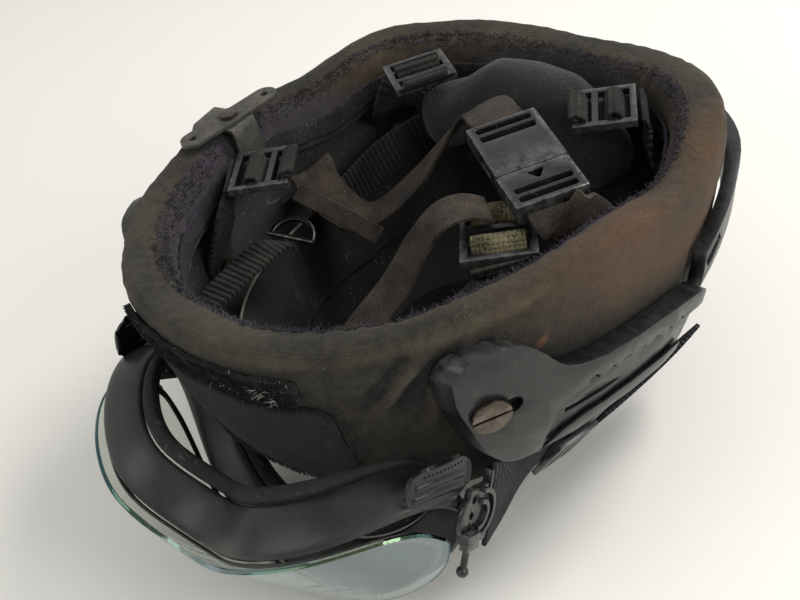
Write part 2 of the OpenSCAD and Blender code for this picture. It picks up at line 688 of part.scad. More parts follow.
module nape_pad() {
  path = smooth(nape_path, 4);
  last = len(path) - 1;
  color([0.1, 0.14, 0.12]) loft([for (i = [0 : last]) let (t = unit(path[min(last, i + 1)]
      - path[max(0, i - 1)]), w = unit(cross(t, [0, 0, 1])), up = cross(w, t),
      u = 2 * i / last - 1, r = nape_r * (0.35 + 0.65 * pow(1 - pow(abs(u), 6), 0.4)))
    [for (k = [0 : 13]) let (a = -k * 360 / 14) path[i] + w * r * cos(a) * 0.98
      + up * r * nape_rise * sin(a)]]);
}

// Adjusters: where each lies, the way from its webbing's end to its tip, and its webbing's bearing
adjuster_length = 30;
adjuster_width = web_width + 8;
adjuster_thick = 3.4;
bar_r = 1.6;
adjusters = [[[68, -23, 148], [-16, 21, 3], 60], [[-69, -33, 150], [17, 13, 0], -64],
  [[52, 80, 146], [-13, -9, 0], 136], [[-60, 74, 146], [15, -10, 0], -126]];

function adjuster_end(k) = let (a = adjusters[k])
  a[0] - unit(a[1]) * (adjuster_length / 2 + web_thick / 2 + 3 * seat);
function adjuster_across(k) = unit(cross(adjusters[k][1], [0, 0, 1]));

module adjuster(k) {
  a = adjusters[k];
  slot = (adjuster_length - 4 * 3) / 3;
  edge = 3;
  color([0.09, 0.09, 0.09]) place(a[0], a[1], [0, 0, 1]) {
    difference() {
      translate([-adjuster_length / 2, -adjuster_width / 2, -adjuster_thick / 2])
        cube([adjuster_length, adjuster_width, adjuster_thick]);
      for (s = [0 : 2]) translate([-adjuster_length / 2 + edge + s * (slot + edge),
        -web_width / 2 - 0.5, -adjuster_thick])
        cube([slot, web_width + 1, 2 * adjuster_thick]);
    }
    translate([adjuster_length / 2 - 1, 0, adjuster_thick / 2]) rotate([90, 0, 0])
      cylinder(h = web_width, r = bar_r, center = true, $fn = 24);
  }
}

module adjuster_front_right() {
  adjuster(0);
}

module adjuster_front_left() {
  adjuster(1);
}

module adjuster_rear_right() {
  adjuster(2);
}

module adjuster_rear_left() {
  adjuster(3);
}

anchor_z = 104;
rivet_r = 4.5;
web_seat = liner - web_thick / 2 - chord - seat;
function around_way(th) = let (p = outward(th, 110)) unit([-p.y, p.x, 0]);
function anchor_start(th) = [wall_point(th, anchor_z - 8, web_seat), around_way(th)];
function anchor_rise(th) = [wall_point(th, rim_z(th) - 30, roll_in - 6.5), around_way(th)];

module anchor_webs() {
  color([0.13, 0.12, 0.11]) for (k = [0 : 3]) let (th = adjusters[k][2], e = adjuster_end(k),
    w = adjuster_across(k), s = w * around_way(th) > 0 ? 1 : -1)
    ribbon([anchor_start(th), [wall_point(th, anchor_z + 4, web_seat), around_way(th)],
      anchor_rise(th), [e - unit(adjusters[k][1]) * 1.5 - [0, 0, 9], w * s], [e, w * s]],
      web_width, web_thick);
}

module anchor_rivets() {
  head = 1.6;
  color([0.2, 0.2, 0.2]) for (a = adjusters) let (th = a[2], n = outward(th, anchor_z - 2))
    place(wall_point(th, anchor_z - 2, web_seat - web_thick / 2 - seat), cross([0, 0, 1], n), -n)
      cylinder(h = head, r = rivet_r, $fn = 32);
}

// Side release buckle in the middle of the chin webbing
buckle_mid = [49, 18, 161];
buckle_way = unit([0.84, -0.54, -0.06]);
plug_length = 24;
body_wall = 1.8;
prong_width = 5;
prong_length = 22;
prong_thick = buckle_thick - 2 * body_wall - 0.8;
socket_end = buckle_mid - buckle_way * socket_length / 2;
plug_end = buckle_mid + buckle_way * (socket_length / 2 + 0.4 + plug_length);

module on_buckle(x) {
  place(buckle_mid + buckle_way * x, buckle_way, [0, 0, 1]) children();
}

module web_slots() {
  for (x = [3, 9]) translate([x, -web_width / 2 - 0.5, -buckle_thick])
    cube([3.6, web_width + 1, 2 * buckle_thick]);
}

module buckle_socket() {
  color([0.07, 0.07, 0.07]) on_buckle(-socket_length / 2) difference() {
    translate([0, -buckle_width / 2, -buckle_thick / 2])
      cube([socket_length, buckle_width, buckle_thick]);
    web_slots();
    translate([15, -buckle_width / 2 + 2.2, -buckle_thick / 2 + body_wall])
      cube([socket_length, buckle_width - 4.4, buckle_thick - 2 * body_wall]);
    for (s = [-1, 1]) translate([24, s * buckle_width / 2, -buckle_thick / 2 + body_wall])
      translate([-6, -3, 0]) cube([12, 6, buckle_thick - 2 * body_wall]);
  }
}

module buckle_plug() {
  core = 7;
  color([0.07, 0.07, 0.07]) on_buckle(socket_length / 2 + 0.4) {
    difference() {
      translate([0, -buckle_width / 2, -buckle_thick / 2])
        linear_extrude(buckle_thick) polygon([[0, 0], [plug_length, 0],
          [plug_length, buckle_width], [0, buckle_width]]);
      translate([plug_length, 0, 0]) mirror([1, 0, 0]) web_slots();
      translate([3, 0, -buckle_thick]) linear_extrude(2 * buckle_thick)
        polygon([[0, -4], [6, 0], [0, 4]]);
    }
    translate([-22, -core / 2, -prong_thick / 2]) cube([22.5, core, prong_thick]);
  }
}

module prong(side) {
  gap = 0.5;
  color([0.09, 0.09, 0.09]) on_buckle(socket_length / 2 - gap) mirror([0, side > 0 ? 0 : 1, 0])
    translate([-prong_length, 0, -prong_thick / 2]) linear_extrude(prong_thick)
      polygon([[0, 7], [6, 7], [prong_length, 6.4], [prong_length, 10.2], [10, 11.4],
        [7, buckle_width / 2 - 1], [1.8, buckle_width / 2 - 1], [-1.6, 9.5]]);
}

module buckle_prong_upper() {
  prong(1);
}

module buckle_prong_lower() {
  prong(-1);
}

buckle_across = unit(cross([0, 0, 1], buckle_way));

module chin_web_right() {
  color([0.3, 0.27, 0.23]) ribbon([[plug_end + buckle_way * 1.6, buckle_across],
    [plug_end + buckle_way * 4 + [0, 0, -0.4], buckle_across],
    [plug_end + buckle_way * 3.6 + [2.6, 0.2, -2.6], buckle_across], [[93, 0, 149], [0.3, 1, 0]],
    [[94, 8, 139], [0.1, 1, 0]], [[94.5, 16, 125], [0.05, 1, 0]],
    [wall_point(97, anchor_z + 2, web_seat - 1.5), around_way(97)],
    [wall_point(98, anchor_z - 10, web_seat), around_way(98)]], web_width, web_thick, steps = 5);
}

module chin_web_left() {
  color([0.3, 0.25, 0.2]) ribbon([[socket_end - buckle_way * 0.6, buckle_across],
    [socket_end - buckle_way * 9, buckle_across], [[8, 43, 158], [0.3, 0.95, 0]],
    [[-14, 43, 138], [-0.3, 0.95, 0]], [[-34, 26, 112], [-0.6, 0.8, 0]],
    [[-54, 8, 98], [-0.4, 0.92, 0]], [[-74, 4, 108], [0, 1, 0]], [[-88, 9, 117], [0, 1, 0]],
    [wall_point(-96, anchor_z + 4, web_seat - 5), [0, 1, 0]],
    [wall_point(-97, anchor_z - 8, web_seat - chord), [0, 1, 0]]], web_width, web_thick, steps = 5);
}

module chin_web_loop() {
  color([0.28, 0.25, 0.22]) ribbon([[wall_point(18, 104, web_seat), [1, 0.1, 0]],
    [[28, -84, 118], [1, -0.15, 0]], [[33, -56, 132], [1, -0.3, 0]],
    [[40, -43, 149], [0.85, -0.5, 0]], [[46, -33, 158], [0.8, -0.6, 0]],
    [[53, -24, 159], [0.8, -0.6, 0]], [[59, -17, 154.6], [0.8, -0.6, 0]]], web_width * 0.8, web_thick);
}

// Metal ring in its webbing loop by the front left adjuster
ring_mid = [-57, -38, 116];
ring_r = 11;
ring_wire = 1.5;

module d_ring() {
  color([0.55, 0.55, 0.52]) translate(ring_mid) rotate([20, 10, 20]) {
    rotate_extrude(angle = 180, $fn = 48) translate([ring_r, 0]) circle(r = ring_wire, $fn = 16);
    rotate([0, 90, 0]) cylinder(h = 2 * ring_r + 2 * ring_wire, r = ring_wire, center = true, $fn = 16);
  }
}

module ring_loop() {
  color([0.15, 0.14, 0.12]) ribbon([[ring_mid + [1, -3.2, -1], [1, 0.3, 0]],
    [[-60, -56, 118], [1, 0.3, 0]], [wall_point(-38, 112, web_seat - 4), around_way(-38)],
    [wall_point(-40, anchor_z - 4, web_seat), around_way(-40)]], 18, web_thick);
}

ballistic_shell();
edge_trim();
fabric_cover();
cover_hem();
loop_strip();
badge_patch();
rail_right();
rail_left();
rail_blade_right();
rail_blade_left();
rail_tail_right();
rail_tail_left();
rail_bolts();
goggle_strap();
strap_tail();
strap_slider();
brim_clip_hook();
brim_clip_plate();
brim_clip_rivet();
crown_pad();
front_pad();
side_pad_right();
side_pad_left();
rear_pad();
nape_pad();
headband();
anchor_webs();
anchor_rivets();
adjuster_front_right();
adjuster_front_left();
adjuster_rear_right();
adjuster_rear_left();
chin_web_right();
chin_web_left();
chin_web_loop();
buckle_socket();
buckle_plug();
buckle_prong_upper();
buckle_prong_lower();
ring_loop();
d_ring();
goggle_frame();
goggle_lens();
lens_retainer();
face_foam();
outrigger_right();
outrigger_left();
latch_lever_right();
latch_lever_left();
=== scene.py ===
# %% [markdown]
# # A ballistic helmet with goggles
#
# The helmet lies on its crown, so the opening and its webbing face up. Every rigid piece
# comes from the fixed frame, in metres, and cloth, webbing, padding and finishes are made
# here. The frame is loaded first.

# %% Load the frame
import json
import math
import random

import bpy
import numpy as np
from mathutils import Matrix, Vector, noise

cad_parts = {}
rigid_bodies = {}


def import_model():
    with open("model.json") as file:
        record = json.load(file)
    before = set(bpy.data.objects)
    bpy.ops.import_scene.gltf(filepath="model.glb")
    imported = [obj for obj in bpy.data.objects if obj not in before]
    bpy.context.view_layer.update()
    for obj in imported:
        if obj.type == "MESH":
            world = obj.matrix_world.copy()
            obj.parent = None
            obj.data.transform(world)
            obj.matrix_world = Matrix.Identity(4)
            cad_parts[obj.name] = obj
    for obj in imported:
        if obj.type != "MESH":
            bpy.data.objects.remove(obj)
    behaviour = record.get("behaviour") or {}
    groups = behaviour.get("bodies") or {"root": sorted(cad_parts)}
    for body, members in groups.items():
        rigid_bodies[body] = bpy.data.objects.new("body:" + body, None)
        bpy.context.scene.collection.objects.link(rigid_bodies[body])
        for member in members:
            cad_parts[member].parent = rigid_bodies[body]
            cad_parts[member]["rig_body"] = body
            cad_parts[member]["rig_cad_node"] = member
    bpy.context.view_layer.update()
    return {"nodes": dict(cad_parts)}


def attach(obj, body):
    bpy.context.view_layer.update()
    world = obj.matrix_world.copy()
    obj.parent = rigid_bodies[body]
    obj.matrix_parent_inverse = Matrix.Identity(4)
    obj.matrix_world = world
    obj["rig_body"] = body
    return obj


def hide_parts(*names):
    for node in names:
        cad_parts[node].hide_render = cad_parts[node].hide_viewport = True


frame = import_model()
body_of_node = {n: o["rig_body"] for n, o in frame["nodes"].items()}
MM = 0.001

# %% [markdown]
# ## Camera and light
#
# The camera stands where the photographer held it: in front of the wearer's right ear and
# well above the rim, rolled a little. A view is set by three directions of the camera, and
# these fill a matrix directly, which keeps the roll that a tracking constraint would lose.

# %% Camera
FILM_WIDTH, FOCAL_PIXELS, PICTURE_PIXELS = 36, 1232.24, 800
camera = bpy.data.objects.new("camera", bpy.data.cameras.new("camera"))
bpy.context.scene.collection.objects.link(camera)
right = Vector((0.73660562, 0.64276753, -0.2103855))
up = Vector((-0.29203872, 0.58286605, 0.75827472))
back = Vector((0.61002093, -0.49710871, 0.61705542))
place = Vector((361.573, -323.345, 456.135)) * MM
camera.matrix_world = Matrix((
    (right.x, up.x, back.x, place.x),
    (right.y, up.y, back.y, place.y),
    (right.z, up.z, back.z, place.z),
    (0, 0, 0, 1)))
camera.data.sensor_width = FILM_WIDTH
camera.data.lens = FILM_WIDTH * FOCAL_PIXELS / PICTURE_PIXELS
camera.data.clip_start = 0.02
bpy.context.scene.camera = camera
bpy.context.scene.view_settings.view_transform = "Standard"
print("camera", round(place.length, 3), "m away, lens", round(camera.data.lens, 1), "mm")

# %% [markdown]
# Soft light comes from a pale world and from three large round lamps. The strongest stands
# above and behind the nape and draws the gloss along the rail and the rim, one stands at
# the wearer's right, and a weak one fills the shadows from the front.

# %% Light
world = bpy.data.worlds.new("studio")
bpy.context.scene.world = world
world.use_nodes = True
sky = world.node_tree.nodes["Background"].inputs
sky["Color"].default_value = (1, 0.99, 0.97, 1)
sky["Strength"].default_value = 0.62


def lamp(name, at, toward, size, power, tint):
    """A round lamp, in metres and watts, that looks toward a place."""
    light = bpy.data.lights.new(name, "AREA")
    light.shape = "DISK"
    light.size = size
    light.energy = power
    light.color = tint
    holder = bpy.data.objects.new(name, light)
    bpy.context.scene.collection.objects.link(holder)
    way = Vector(toward) - Vector(at)
    turned = way.to_track_quat("-Z", "Y").to_matrix().to_4x4()
    holder.matrix_world = Matrix.Translation(at) @ turned


lamp("back_lamp", (0.55, 0.95, 1.35), (0, 0, 0.1), 0.7, 17.0, (1, 0.99, 0.97))
lamp("side_lamp", (1.3, 0.1, 0.9), (0, 0, 0.08), 0.7, 8.0, (1, 1, 0.99))
lamp("front_lamp", (-0.5, -1.3, 1.1), (0, 0, 0.1), 0.9, 4.0, (0.97, 0.98, 1))
print("lamps", [light.name for light in bpy.data.lights])

# %% [markdown]
# ## Finishes
#
# Several materials share the same effects, so each effect is a node group with named
# inputs: threads of a weave, patches of fading, lint, the grain of moulded plastic and
# scratches. A group only gives numbers; the shader stays in the material.

# %% Helpers for node trees
def srgb(r, g, b):
    """A colour as a picture shows it, turned into the light that Blender mixes."""
    return tuple(((c / 255 + 0.055) / 1.055) ** 2.4 if c > 10 else c / 3294.6
                 for c in (r, g, b)) + (1.0,)


def put(tree, kind, **values):
    """Adds a node. set_x sets a property, i0 is the first input, any other word an input."""
    node = tree.nodes.new(kind)
    for key, value in values.items():
        if key.startswith("set_"):
            setattr(node, key[4:], value)
            continue
        numbered = key[0] == "i" and key[1:].isdigit()
        slot = node.inputs[int(key[1:]) if numbered else key.replace("_", " ")]
        if isinstance(value, bpy.types.NodeSocket):
            tree.links.new(value, slot)
        else:
            slot.default_value = value
    return node


def maths(tree, operation, a, b=0.0):
    return put(tree, "ShaderNodeMath", set_operation=operation, i0=a, i1=b).outputs[0]


def times(tree, a, b):
    return maths(tree, "MULTIPLY", a, b)


def plus(tree, a, b):
    return maths(tree, "ADD", a, b)


def minus(tree, a, b):
    return maths(tree, "SUBTRACT", a, b)


print("black cloth is", [round(c, 4) for c in srgb(17, 17, 18)[:3]], "in Blender's light")

# %% [markdown]
# Larger steps are built from these: a stretch of values, a cloudy noise, a number that a
# piece carries on its points, a mix of two colours, and an empty group with its sockets.

# %% Noise, colours and groups
def limits(tree, value, low, high, out_low=0.0, out_high=1.0):
    """Spreads the values between low and high over a new range, and cuts off the rest."""
    return put(tree, "ShaderNodeMapRange", Value=value, From_Min=low, From_Max=high,
               To_Min=out_low, To_Max=out_high).outputs["Result"]


def cloudy(tree, place, scale, detail, roughness=0.5):
    return put(tree, "ShaderNodeTexNoise", Vector=place, Scale=scale, Detail=detail,
               Roughness=roughness).outputs["Fac"]


def stored(tree, name):
    """Reads an attribute that a piece carries on its points."""
    return put(tree, "ShaderNodeAttribute", set_attribute_name=name).outputs["Fac"]


def blend_colour(tree, factor, a, b):
    return put(tree, "ShaderNodeMix", set_data_type="RGBA", i0=factor, i6=a, i7=b).outputs[2]


def new_group(name, inputs, outputs):
    """An empty node group, with the sockets to take from and to give to."""
    group = bpy.data.node_groups.new(name, "ShaderNodeTree")
    for label, kind, value in inputs:
        socket = group.interface.new_socket(label, in_out="INPUT", socket_type=kind)
        if value is not None:
            socket.default_value = value
    for label, kind in outputs:
        group.interface.new_socket(label, in_out="OUTPUT", socket_type=kind)
    taken, given = (group.nodes.new("NodeGroup" + end) for end in ("Input", "Output"))
    return group, taken.outputs, given.inputs


print("node helpers ready")

# %% [markdown]
# A woven thread is a rounded ridge. Two sets of ridges cross, and a chequer decides which
# set is on top, which is how a plain weave looks. A twill moves the chequer one thread over
# in every row, so the ridges run in diagonals. The pattern reads a map in metres.

# %% Threads of a weave
F, V = "NodeSocketFloat", "NodeSocketVector"
threads, take, give = new_group(
    "threads", [("Map", V, None), ("Pitch", F, 0.0008), ("Twill", F, 0.0)],
    [("Height", F), ("Gap", F)])
turns = maths(threads, "DIVIDE", math.pi, take["Pitch"])
flat_map = put(threads, "ShaderNodeSeparateXYZ", Vector=take["Map"]).outputs
across, along = (times(threads, flat_map[axis], turns) for axis in "XY")
weft, warp = (maths(threads, "ABSOLUTE", maths(threads, "SINE", way)) for way in (across, along))
step = times(threads, along, take["Twill"])
odd_rows = maths(threads, "SINE", times(threads, plus(threads, across, step), 0.5))
even_rows = maths(threads, "SINE", times(threads, minus(threads, along, step), 0.5))
on_top = limits(threads, times(threads, odd_rows, even_rows), -0.25, 0.25)
ridge = put(threads, "ShaderNodeMix", i0=on_top, i2=weft, i3=warp).outputs[0]
threads.links.new(ridge, give["Height"])
threads.links.new(limits(threads, ridge, 0.0, 0.45, 1.0, 0.0), give["Gap"])
print("threads:", len(threads.nodes), "nodes")

# %% [markdown]
# Fading is soft and large, and the last of it is mottled, so two noises of different size
# are added. Lint is small, rare and sharp: the peaks of a fine noise, kept only where a
# coarse one allows.

# %% Fading and lint
fading, take, give = new_group(
    "fading", [("Place", V, None), ("Size", F, 0.04), ("Sharpness", F, 0.2)],
    [("Fade", F), ("Mottle", F)])
detail = maths(fading, "DIVIDE", 1.0, take["Size"])
wide = cloudy(fading, take["Place"], detail, 5.0, 0.6)
fine = cloudy(fading, take["Place"], times(fading, detail, 11.0), 3.0, 0.7)
low = minus(fading, 0.5, take["Sharpness"])
high = plus(fading, 0.5, take["Sharpness"])
fading.links.new(limits(fading, wide, low, high), give["Fade"])
fading.links.new(limits(fading, fine, 0.3, 0.7), give["Mottle"])

lint, take, give = new_group("lint", [("Place", V, None), ("Amount", F, 0.3)], [("Mask", F)])
specks = limits(lint, cloudy(lint, take["Place"], 900.0, 2.0), 0.62, 0.72)
where = limits(lint, cloudy(lint, take["Place"], 70.0, 2.0), 0.5, 0.7)
lint.links.new(times(lint, times(lint, specks, where), take["Amount"]), give["Mask"])
print("fading:", len(fading.nodes), "nodes, lint:", len(lint.nodes))

# %% [markdown]
# Moulded plastic has a fine even grain and a few hair scratches. The scratches are thin
# bands of a stretched noise. Rubbed edges read an attribute that each piece gets from its
# own shape further down.

# %% Grain, scratches and rubbed edges
grain, take, give = new_group(
    "grain", [("Place", V, None), ("Size", F, 0.0006)], [("Height", F)])
bumps = cloudy(grain, take["Place"], maths(grain, "DIVIDE", 1.0, take["Size"]), 2.0)
grain.links.new(bumps, give["Height"])

scratches, take, give = new_group(
    "scratches", [("Place", V, None), ("Amount", F, 0.3)], [("Mask", F)])
masks = []
for turn, stretch in (((0.3, 0.2, 0.5), (30, 900, 260)), ((1.1, 0.7, 2.2), (700, 40, 300))):
    spun = put(scratches, "ShaderNodeMapping", Vector=take["Place"], Rotation=turn, Scale=stretch)
    masks.append(limits(scratches, cloudy(scratches, spun.outputs[0], 1.0, 1.0), 0.69, 0.74))
both = maths(scratches, "MAXIMUM", *masks)
scratches.links.new(times(scratches, both, take["Amount"]), give["Mask"])

rubbed, take, give = new_group(
    "rubbed", [("Edge", F, 0.0), ("Place", V, None), ("Amount", F, 0.5)], [("Mask", F)])
broken = limits(rubbed, cloudy(rubbed, take["Place"], 240.0, 4.0, 0.7), 0.35, 0.65)
worn = times(rubbed, limits(rubbed, take["Edge"], 0.15, 0.7), broken)
rubbed.links.new(times(rubbed, worn, take["Amount"]), give["Mask"])
print("groups", [group.name for group in bpy.data.node_groups])

# %% [markdown]
# Two recipes cover most of the helmet, and the first is cloth. It mixes a dark and a faded
# colour by the fading, paints shade into the gaps of the weave, adds lint, and raises the threads
# with a bump. Straps also have ribs across them.

# %% Cloth
def use(tree, group, **values):
    node = tree.nodes.new("ShaderNodeGroup")
    node.node_tree = group
    for key, value in values.items():
        if isinstance(value, bpy.types.NodeSocket):
            tree.links.new(value, node.inputs[key])
        else:
            node.inputs[key].default_value = value
    return node.outputs


def start_material(name, **fixed):
    material = bpy.data.materials.new(name)
    material.use_nodes = True
    tree = material.node_tree
    shader = tree.nodes["Principled BSDF"]
    for key, value in fixed.items():
        shader.inputs[key.replace("_", " ")].default_value = value
    spot = tree.nodes.new("ShaderNodeTexCoord").outputs
    return material, tree, shader, spot


def cloth(name, dark, faded, pitch=0.0009, twill=0.0, relief=0.0005, fade_size=0.05,
          lint_amount=0.3, lint_colour=(150, 150, 145), mottled=0.35, sheen=0.05, gap_shade=0.5,
          mapped=True, ribs=0.0, fade_share=0.7, tints=()):
    """Woven finish, sizes in metres. tints: attributes, each with a colour of its own."""
    material, tree, shader, spot = start_material(
        name, Sheen_Weight=sheen, Sheen_Roughness=0.6, Specular_IOR_Level=0.12)
    surface = put(tree, "ShaderNodeUVMap").outputs["UV"] if mapped else spot["Object"]
    weave = use(tree, threads, Map=surface, Pitch=pitch, Twill=twill)
    fade = use(tree, fading, Place=spot["Object"], Size=fade_size, Sharpness=0.16)
    speckle = use(tree, lint, Place=spot["Object"], Amount=lint_amount)
    # worn is real fading and, on the cover, also painted light and shade on its creases
    amount = plus(tree, times(tree, fade["Fade"], fade_share), stored(tree, "worn"))
    amount = plus(tree, amount, times(tree, minus(tree, fade["Mottle"], 0.5), mottled))
    faded_colour = srgb(*faded)
    for mark, tint in tints:
        faded_colour = blend_colour(tree, stored(tree, mark), faded_colour, srgb(*tint))
    colour = blend_colour(tree, amount, srgb(*dark), faded_colour)
    # painted shade: the gaps between the threads are darkened in the colour
    painted_gap_shade = srgb(*[c * 0.45 for c in dark])
    colour = blend_colour(tree, times(tree, weave["Gap"], gap_shade), colour, painted_gap_shade)
    colour = blend_colour(tree, speckle["Mask"], colour, srgb(*lint_colour))
    tree.links.new(colour, shader.inputs["Base Color"])
    tree.links.new(limits(tree, fade["Mottle"], 0, 1, 0.78, 0.95), shader.inputs["Roughness"])
    height = plus(tree, weave["Height"], times(tree, fade["Mottle"], 0.5))
    if ribs:
        along = put(tree, "ShaderNodeSeparateXYZ", Vector=surface).outputs["Y"]
        rib = maths(tree, "SINE", times(tree, along, 2 * math.pi / ribs))
        height = plus(tree, height, times(tree, rib, 1.2))
    bump = put(tree, "ShaderNodeBump", Height=height, Strength=0.8, Distance=relief)
    tree.links.new(bump.outputs["Normal"], shader.inputs["Normal"])
    return material


print("cloth recipe ready")

# %% [markdown]
# The second recipe is for plastic, rubber and metal. It mixes a base colour with a dusty
# one, gets its bump from the grain, and goes paler in scratches and along rubbed edges.

# %% Hard finishes
def hard(name, base, dusty, rough=(0.3, 0.5), grain_size=0.0006, relief=0.00008, metal=0.0,
         dust=0.5, fade_size=0.02, edge_colour=None, edge_amount=0.5, scratch_amount=0.35,
         **fixed):
    """Moulded, cut or painted finish, sizes in metres, paler along the piece's edges."""
    material, tree, shader, spot = start_material(name, Metallic=metal, **fixed)
    fade = use(tree, fading, Place=spot["Object"], Size=fade_size, Sharpness=0.18)
    fine_grain = use(tree, grain, Place=spot["Object"], Size=grain_size)
    marks = use(tree, scratches, Place=spot["Object"], Amount=scratch_amount)
    wear = use(tree, rubbed, Edge=stored(tree, "edge"), Place=spot["Object"],
               Amount=edge_amount)
    colour = blend_colour(tree, times(tree, fade["Fade"], dust), srgb(*base), srgb(*dusty))
    pale = srgb(*(edge_colour or [min(255, c * 1.6 + 20) for c in dusty]))
    rubbing = maths(tree, "MAXIMUM", wear["Mask"], marks["Mask"])
    tree.links.new(blend_colour(tree, rubbing, colour, pale), shader.inputs["Base Color"])
    uneven = plus(tree, times(tree, fade["Fade"], 0.7), times(tree, fade["Mottle"], 0.3))
    tree.links.new(limits(tree, uneven, 0, 1, *rough), shader.inputs["Roughness"])
    bump = put(tree, "ShaderNodeBump", Height=fine_grain["Height"], Strength=0.7, Distance=relief)
    tree.links.new(bump.outputs["Normal"], shader.inputs["Normal"])
    return material


print("hard recipe ready")

# %% [markdown]
# Each finish gets the colours of the worn thing: the cover has faded from black to a warm
# brown, the rubber of the goggles is dusted grey, and bolt heads have browned.

# %% Finishes of this helmet
finish = {
    "cover_cloth": cloth("cover_twill", (17, 17, 18), (84, 80, 66), pitch=0.0009, twill=1.0,
                         relief=0.00035, fade_size=0.05, lint_amount=0.2, mottled=0.3, fade_share=0.22,
                         tints=(("brown", (92, 71, 54)), ("hem", (66, 61, 68)), ("rust", (108, 64, 45)))),
    "hem_cloth": cloth("hem_tape", (24, 22, 27), (58, 53, 62), pitch=0.0011, relief=0.0006,
                       fade_size=0.03, lint_amount=0.5, mottled=0.8),
    "hem_thread": cloth("hem_thread", (40, 37, 42), (84, 78, 86), mapped=False, lint_amount=0.0, mottled=0.8),
    "pile": cloth("loop_pile", (8, 8, 9), (34, 34, 34), pitch=0.0016, relief=0.0014, fade_size=0.012,
                  lint_amount=0.8, lint_colour=(190, 190, 182), mottled=0.9),
    "badge_cloth": cloth("badge_twill", (11, 12, 15), (34, 34, 38), pitch=0.0010, twill=1.0,
                         relief=0.0005, fade_size=0.02, lint_amount=0.6, lint_colour=(150, 140, 125)),
    "badge_edge": cloth("badge_edging", (22, 22, 27), (74, 74, 82), pitch=0.0009, relief=0.0008,
                        fade_size=0.01, lint_amount=0.8),
    "strap_cloth": cloth("strap_elastic", (20, 19, 24), (60, 58, 66), pitch=0.0013, relief=0.0007,
                         fade_size=0.03, lint_amount=0.5, mottled=0.7, ribs=0.0027),
    "pad_cloth": cloth("pad_knit", (14, 15, 16), (42, 42, 42), pitch=0.0008, relief=0.0003,
                       fade_size=0.05, lint_amount=0.5),
    "nape_cloth": cloth("nape_cloth", (10, 13, 11), (33, 39, 32), pitch=0.0010, relief=0.0003,
                        fade_size=0.06, lint_amount=0.3, sheen=0.15),
    "webbing_black": cloth("black_webbing", (18, 18, 18), (56, 53, 48), pitch=0.0013, relief=0.0007,
                           fade_size=0.02, lint_amount=0.3, ribs=0.0030),
    "webbing_brown": cloth("brown_webbing", (27, 23, 21), (76, 66, 56), pitch=0.0011, relief=0.0005,
                           fade_size=0.015, lint_amount=0.25, mottled=0.5),
    "webbing_olive": cloth("olive_webbing", (52, 50, 34), (150, 142, 108), pitch=0.0021, twill=1.0,
                           relief=0.0010, fade_size=0.01, lint_amount=0.3, mottled=0.6, gap_shade=0.8),
    "pad_vinyl": hard("band_vinyl", (20, 23, 23), (62, 68, 68), rough=(0.4, 0.55), grain_size=0.0009,
                      relief=0.0002, fade_size=0.05, edge_amount=0.2, scratch_amount=0.1),
    "rail_plastic": hard("rail_plastic", (13, 14, 15), (34, 35, 36), rough=(0.24, 0.36), relief=0.00006,
                         edge_colour=(112, 114, 114), edge_amount=0.6, scratch_amount=0.08,
                         Specular_IOR_Level=0.4),
    "buckle_plastic": hard("buckle_plastic", (15, 15, 16), (46, 46, 46), rough=(0.18, 0.3),
                           relief=0.00004, edge_colour=(124, 124, 122), edge_amount=0.6, scratch_amount=0.12),
    "bolt_steel": hard("bolt_steel", (98, 90, 82), (66, 56, 48), rough=(0.3, 0.5), metal=1.0,
                       grain_size=0.001, dust=0.9, edge_colour=(190, 180, 168), edge_amount=0.7),
    "ring_steel": hard("ring_steel", (58, 57, 55), (34, 33, 32), rough=(0.25, 0.45), metal=1.0,
                       edge_colour=(150, 150, 146), edge_amount=0.5),
    "clip_metal": hard("clip_metal", (96, 92, 84), (66, 68, 60), rough=(0.45, 0.65), metal=0.7,
                       grain_size=0.0012, relief=0.00025, dust=0.9, fade_size=0.006,
                       edge_colour=(150, 150, 142), edge_amount=0.8),
    "goggle_rubber": hard("goggle_rubber", (17, 19, 20), (58, 60, 56), rough=(0.28, 0.46),
                          grain_size=0.0008, relief=0.0001, dust=0.6, fade_size=0.035,
                          edge_colour=(104, 104, 98), edge_amount=0.35, scratch_amount=0.05,
                          Specular_IOR_Level=0.4),
    "foam": hard("face_foam", (14, 14, 15), (46, 46, 46), rough=(0.85, 0.95), grain_size=0.0012,
                 relief=0.0008, edge_amount=0.2),
    "trim_rubber": hard("trim_rubber", (18, 18, 18), (44, 42, 40), rough=(0.55, 0.7)),
    "shell": hard("shell_liner", (22, 23, 23), (52, 52, 50), rough=(0.6, 0.8), grain_size=0.0012,
                  relief=0.0003, fade_size=0.05),
}
print(len(finish), "finishes")

# %% [markdown]
# The visor is clear polycarbonate with a thin coating, which gives the green and purple
# gloss. That is a real thin film, so the shader's own film thickness makes it.

# %% Lens
COATING_NM, COATING_IOR, CLEAR_IOR = 238.0, 1.7, 1.45
lens_finish, tree, shader, spot = start_material(
    "clear_lens", Transmission_Weight=1.0, IOR=CLEAR_IOR, Thin_Film_Thickness=COATING_NM,
    Thin_Film_IOR=COATING_IOR, Roughness=0.04)
haze = use(tree, fading, Place=spot["Object"], Size=0.03, Sharpness=0.2)
marks = use(tree, scratches, Place=spot["Object"], Amount=1.0)
tint = blend_colour(tree, haze["Fade"], (0.93, 0.98, 0.95, 1), (0.84, 0.93, 0.88, 1))
tree.links.new(tint, shader.inputs["Base Color"])
tree.links.new(limits(tree, marks["Mask"], 0, 1, 0.03, 0.25), shader.inputs["Roughness"])
finish["goggle_lens"] = lens_finish
print("lens coating", COATING_NM, "nm thick")

# %% [markdown]
# ## Floor
#
# The floor is a wide pale sheet a hair below the crown. It stays flat to its far edge,
# because the camera looks down and never sees where it ends.

